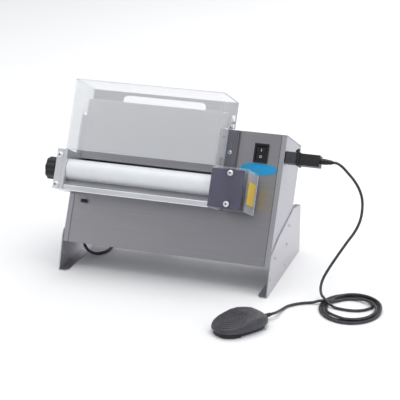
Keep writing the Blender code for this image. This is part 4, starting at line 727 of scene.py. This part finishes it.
def panel_details():
    """Screws of the panel, the guard's channel, the rear cover and the feet, and the tie bar's clip."""
    spots = [HEAD @ Matrix.Translation((x, -0.0001, z)) @ FORWARD for x,
             z in ((-0.2010, 0.2490), (0.0904, 0.2490))]
    # Painted shade: these panel screw heads are wholly near-black, standing in for the shaded holes they
    # sit in.
    screws("panel_screws", spots, "housing", 0.0026, 0.0010, painted_shade_dark)
    screws("channel_screw", [HEAD @ Matrix.Translation((0.1085, -0.0070, 0.2180)) @ FORWARD], "housing",
           0.0040)
    back = Matrix.Rotation(math.radians(-90.0), 4, "X")
    spots = [HEAD @ Matrix.Translation((side * 0.2135, 0.1318, z)) @ back
             for side in (-1, 1) for z in (0.070, 0.160, 0.245)]
    screws("rear_cover_screws", spots, "housing")
    spots = []
    for side in (-1, 1):
        turn = Matrix.Rotation(math.radians(side * 90.0), 4, "Y")
        spots += [UPRIGHT @ Matrix.Translation((side * 0.2224, y, z)) @ turn
                  for y, z in ((0.1434, 0.0930), (0.1280, 0.0570), (0.0320, 0.0650))]
    screws("foot_screws", spots, "housing", 0.0038, 0.0018)
    bm = bmesh.new()
    block(bm, (-0.1915, -0.0095, 0.0830), (-0.1805, -0.0018, 0.0900), HEAD, 0.0008)
    block(bm, (-0.1895, -0.0125, 0.0850), (-0.1825, -0.0090, 0.0875), HEAD, 0.0006)
    clip = link(bm, "tie_bar_clip", black_nylon, False)
    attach(clip, "housing")


def bolt_caps():
    """Wide bright flanged heads over the four bolts of the end block and the gear case."""
    spots = [HEAD @ Matrix.Translation((x, y, z)) @ FORWARD
             for x, y in ((-0.2254, -0.0703), (0.1368, -0.0790)) for z in (0.1080, 0.1690)]
    caps = screws("bolt_caps", spots, "housing", 0.0060, 0.0048, bolt_zinc)
    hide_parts("block_screw_lower", "block_screw_upper", "case_screw_lower", "case_screw_upper")


def foot_top_painted_reflection():
    """Thin dark strips on the feet's rear tab tops: a painted dark reflection, drawn in the darker channel
    steel.
    """
    rise = math.atan2(0.105 - 0.118, 0.236 - 0.178)
    bm = bmesh.new()
    for side in (-1, 1):
        start_x, end_x = sorted((side * 0.2223, side * 0.2103))
        tab = UPRIGHT @ Matrix.Translation((0.0, 0.178, 0.118)) @ Matrix.Rotation(rise, 4, "X")
        block(bm, (start_x, 0.0, 0.0), (end_x, 0.0590, 0.0002), tab)
    # Painted reflection: these strips carry the dark that the tab tops reflect.
    tops = link(bm, "foot_top_painted_reflection", channel_steel, False)
    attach(tops, "housing")


def hem(name, low, high, body, material=side_steel, bevel=0.0003):
    """Thin strip along a sheet, in the head's frame: a bright folded edge, or a dark strip of painted shade
    along a seam.
    """
    bm = bmesh.new()
    block(bm, low, high, HEAD, bevel)
    piece = link(bm, name, material, False)
    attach(piece, body)
    return piece


def guard_edges():
    """Thin pale strips along the clear guard's cut edges: a painted glint for the light those edges gather.
    """
    left, right, front, rear = -0.2184, 0.0998, -0.0686, 0.0400
    wall, low, step, top = 0.0030, 0.1825, 0.2720, 0.3268
    thin = 0.0002
    bm = bmesh.new()
    for height in (low - thin, top - 0.0001):
        for side, near in ((1, left), (-1, right)):
            rear_end = rear if height > step else -0.0030
            block(bm, (min(near, near + side * wall), front + 0.006, height),
                  (max(near, near + side * wall), rear_end, height + thin + 0.0001), HEAD)
        block(bm, (left + 0.006, front, height), (right - 0.006, front + wall, height + thin + 0.0001),
              HEAD)
        for side, near in ((1, left), (-1, right)):
            middle = (near + side * 0.006, front + 0.006)
            outline = []
            for radius, order in ((0.006, range(7)), (0.003, range(6, -1, -1))):
                for i in order:
                    angle = math.pi / 2 * i / 6
                    outline.append((middle[0] - side * radius * math.cos(angle),
                                    middle[1] - radius * math.sin(angle)))
            slab(bm, outline, height, height + thin + 0.0001, HEAD)
    for side, near in ((1, left), (-1, right)):
        a, b = sorted((near, near + side * wall))
        block(bm, (a, -0.0030 - 0.0001, low), (b, -0.0030 + thin, step), HEAD)
        block(bm, (a, -0.0030, step - thin), (b, rear, step + 0.0001), HEAD)
        block(bm, (a, rear - 0.0001, step), (b, rear + thin, top), HEAD)
    edges = link(bm, "guard_edges", painted_glint_edge, False)
    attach(edges, "guard")


def case_details():
    """Thin pale strips along the gear cover's edges, a painted glint for the light they gather, and the
    plain yellow label on its side.
    """
    right, front, low, high = 0.1737, -0.0787, 0.0975, 0.1815
    bm = bmesh.new()
    block(bm, (right - 0.0020, front + 0.004, low - 0.0002), (right, -0.0012, low + 0.0001), HEAD)
    block(bm, (0.0990, front, low - 0.0002), (right - 0.004, front + 0.0020, low + 0.0001), HEAD)
    block(bm, (right - 0.0020, -0.0014, low), (right, -0.0010, high - 0.004), HEAD)
    edges = link(bm, "case_edges", painted_glint_edge, False)
    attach(edges, "housing")
    bm = bmesh.new()
    side = HEAD @ Matrix.Translation((right + 0.00015, -0.0415, 0.1355)) @ SIDEWAYS
    slab(bm, rounded(0.0225, 0.0265, 0.003), 0.0, 0.00025, side)
    label = link(bm, "case_label", label_yellow, False)
    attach(label, "housing")


def switch_marks():
    """On and off marks on the rocker."""
    frame_of = HEAD @ Matrix.Translation((0.1716, 0.0020, 0.2239)) @ Matrix.Rotation(math.radians(7.0), 4,
                                                                                     "X")
    lean = math.atan2(0.0020, 0.0129)
    bm = bmesh.new()
    upper = frame_of @ Matrix.Translation((0.0, -0.00405, 0.0066)) @ Matrix.Rotation(lean, 4, "X") @ FORWARD
    lower = frame_of @ Matrix.Translation((0.0, -0.00405, -0.0066)) @ Matrix.Rotation(-lean, 4,
                                                                                      "X") @ FORWARD
    slab(bm, rounded(0.0006, 0.0026, 0.0003, 2), 0.0, 0.00015, upper)
    count = 20
    for i in range(count):
        a, b = 2 * math.pi * i / count, 2 * math.pi * (i + 1) / count
        outline = [(0.0024 * math.cos(a), 0.0024 * math.sin(a)),
                   (0.0024 * math.cos(b), 0.0024 * math.sin(b)),
                   (0.0015 * math.cos(b), 0.0015 * math.sin(b)),
                   (0.0015 * math.cos(a), 0.0015 * math.sin(a))]
        slab(bm, outline, 0.0, 0.00015, lower)
    marks = link(bm, "rocker_marks", mark_white, False)
    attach(marks, "rocker")


def treadle_ridges():
    """Raised grip rings on the treadle, laid on its domed top. A ring that would run past its edge is
    left out."""
    mesh = nodes["pedal_treadle"].data
    tree = BVHTree.FromPolygons([v.co for v in mesh.vertices], [p.vertices for p in mesh.polygons])
    toe = -0.0565
    bm_all = bmesh.new()
    for radius in (0.0070, 0.0125, 0.0180, 0.0235, 0.0290):
        points = []
        for i in range(49):
            angle = 2 * math.pi * i / 48
            x, y = toe + 0.0350 + radius * math.cos(angle), radius * math.sin(angle)
            above = PEDAL @ Vector((x, y, 0.06))
            hit = tree.ray_cast(above, Vector((0.0, 0.0, -1.0)))[0]
            points.append(hit + Vector((0.0, 0.0, 0.0001)) if hit else None)
        if None in points:
            continue
        ring = tube("ridge", points, 0.0009, None, 8)
        bm_all.from_mesh(ring.data)
        bpy.data.objects.remove(ring)
    ridges = link(bm_all, "treadle_ridges", pedal_black)
    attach(ridges, "treadle")


def knob_details():
    """Gloss cap and pointer on the knob's end."""
    bm = bmesh.new()
    end = -0.2634
    turn = HEAD @ Matrix.Translation((end, -0.0265, 0.1445)) @ Matrix.Rotation(math.radians(-90.0), 4, "Y")
    lathe(bm, [(0.0, 0.0), (0.0160, -0.0001), (0.0150, 0.0003), (0.0, 0.0003)], turn, 32)
    cap = link(bm, "knob_cap", black_gloss, False)
    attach(cap, "adjuster")
    bm = bmesh.new()
    slab(bm, rounded(0.0012, 0.0055, 0.0006, 3), 0.0003, 0.0004,
         turn @ Matrix.Translation((0.0, 0.0100, 0.0)))
    pointer = link(bm, "knob_pointer", mark_white, False)
    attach(pointer, "adjuster")


def relief_ribs():
    """Moulded rings on the pedal plug's strain relief."""
    bm = bmesh.new()
    side_face, socket_length, plug_length = 0.2203, 0.0237, 0.0460
    body_end = side_face + socket_length + plug_length
    for i in range(5):
        share = i / 5
        radius = 0.0058 + (PEDAL_CORD / 2 + 0.0011 - 0.0058) * share
        at = HEAD @ Matrix.Translation((body_end + 0.0070 + 0.0034 * i, 0.0155, 0.2222)) @ SIDEWAYS
        lathe(bm, [(radius - 0.001, -0.0009), (radius + 0.0006, -0.0008), (radius + 0.0006, 0.0006),
                   (radius - 0.001, 0.0009)], at, 20)
    ribs = link(bm, "pedal_plug_ribs", black_nylon, False)
    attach(ribs, "housing")


panel_details()
bolt_caps()
foot_top_painted_reflection()
guard_edges()
case_details()
switch_marks()
treadle_ridges()
knob_details()
relief_ribs()
hem("upstand_hem", (-0.2094, -0.0003, 0.2978), (0.0908, 0.0015, 0.2993), "housing", bright_steel)
# Painted shade: dark strips along the right flange's bend and the right side panel's top edge stand in for
# the shadow lying in those seams.
hem("flange_painted_shade", (0.2092, -0.0021, 0.0020), (0.2099, -0.0016, 0.2625), "housing", painted_shade_dark, 0.0)
hem("side_top_painted_shade", (0.2188, 0.0010, 0.2632), (0.2203, 0.1290, 0.2637), "housing", painted_shade_dark, 0.0)
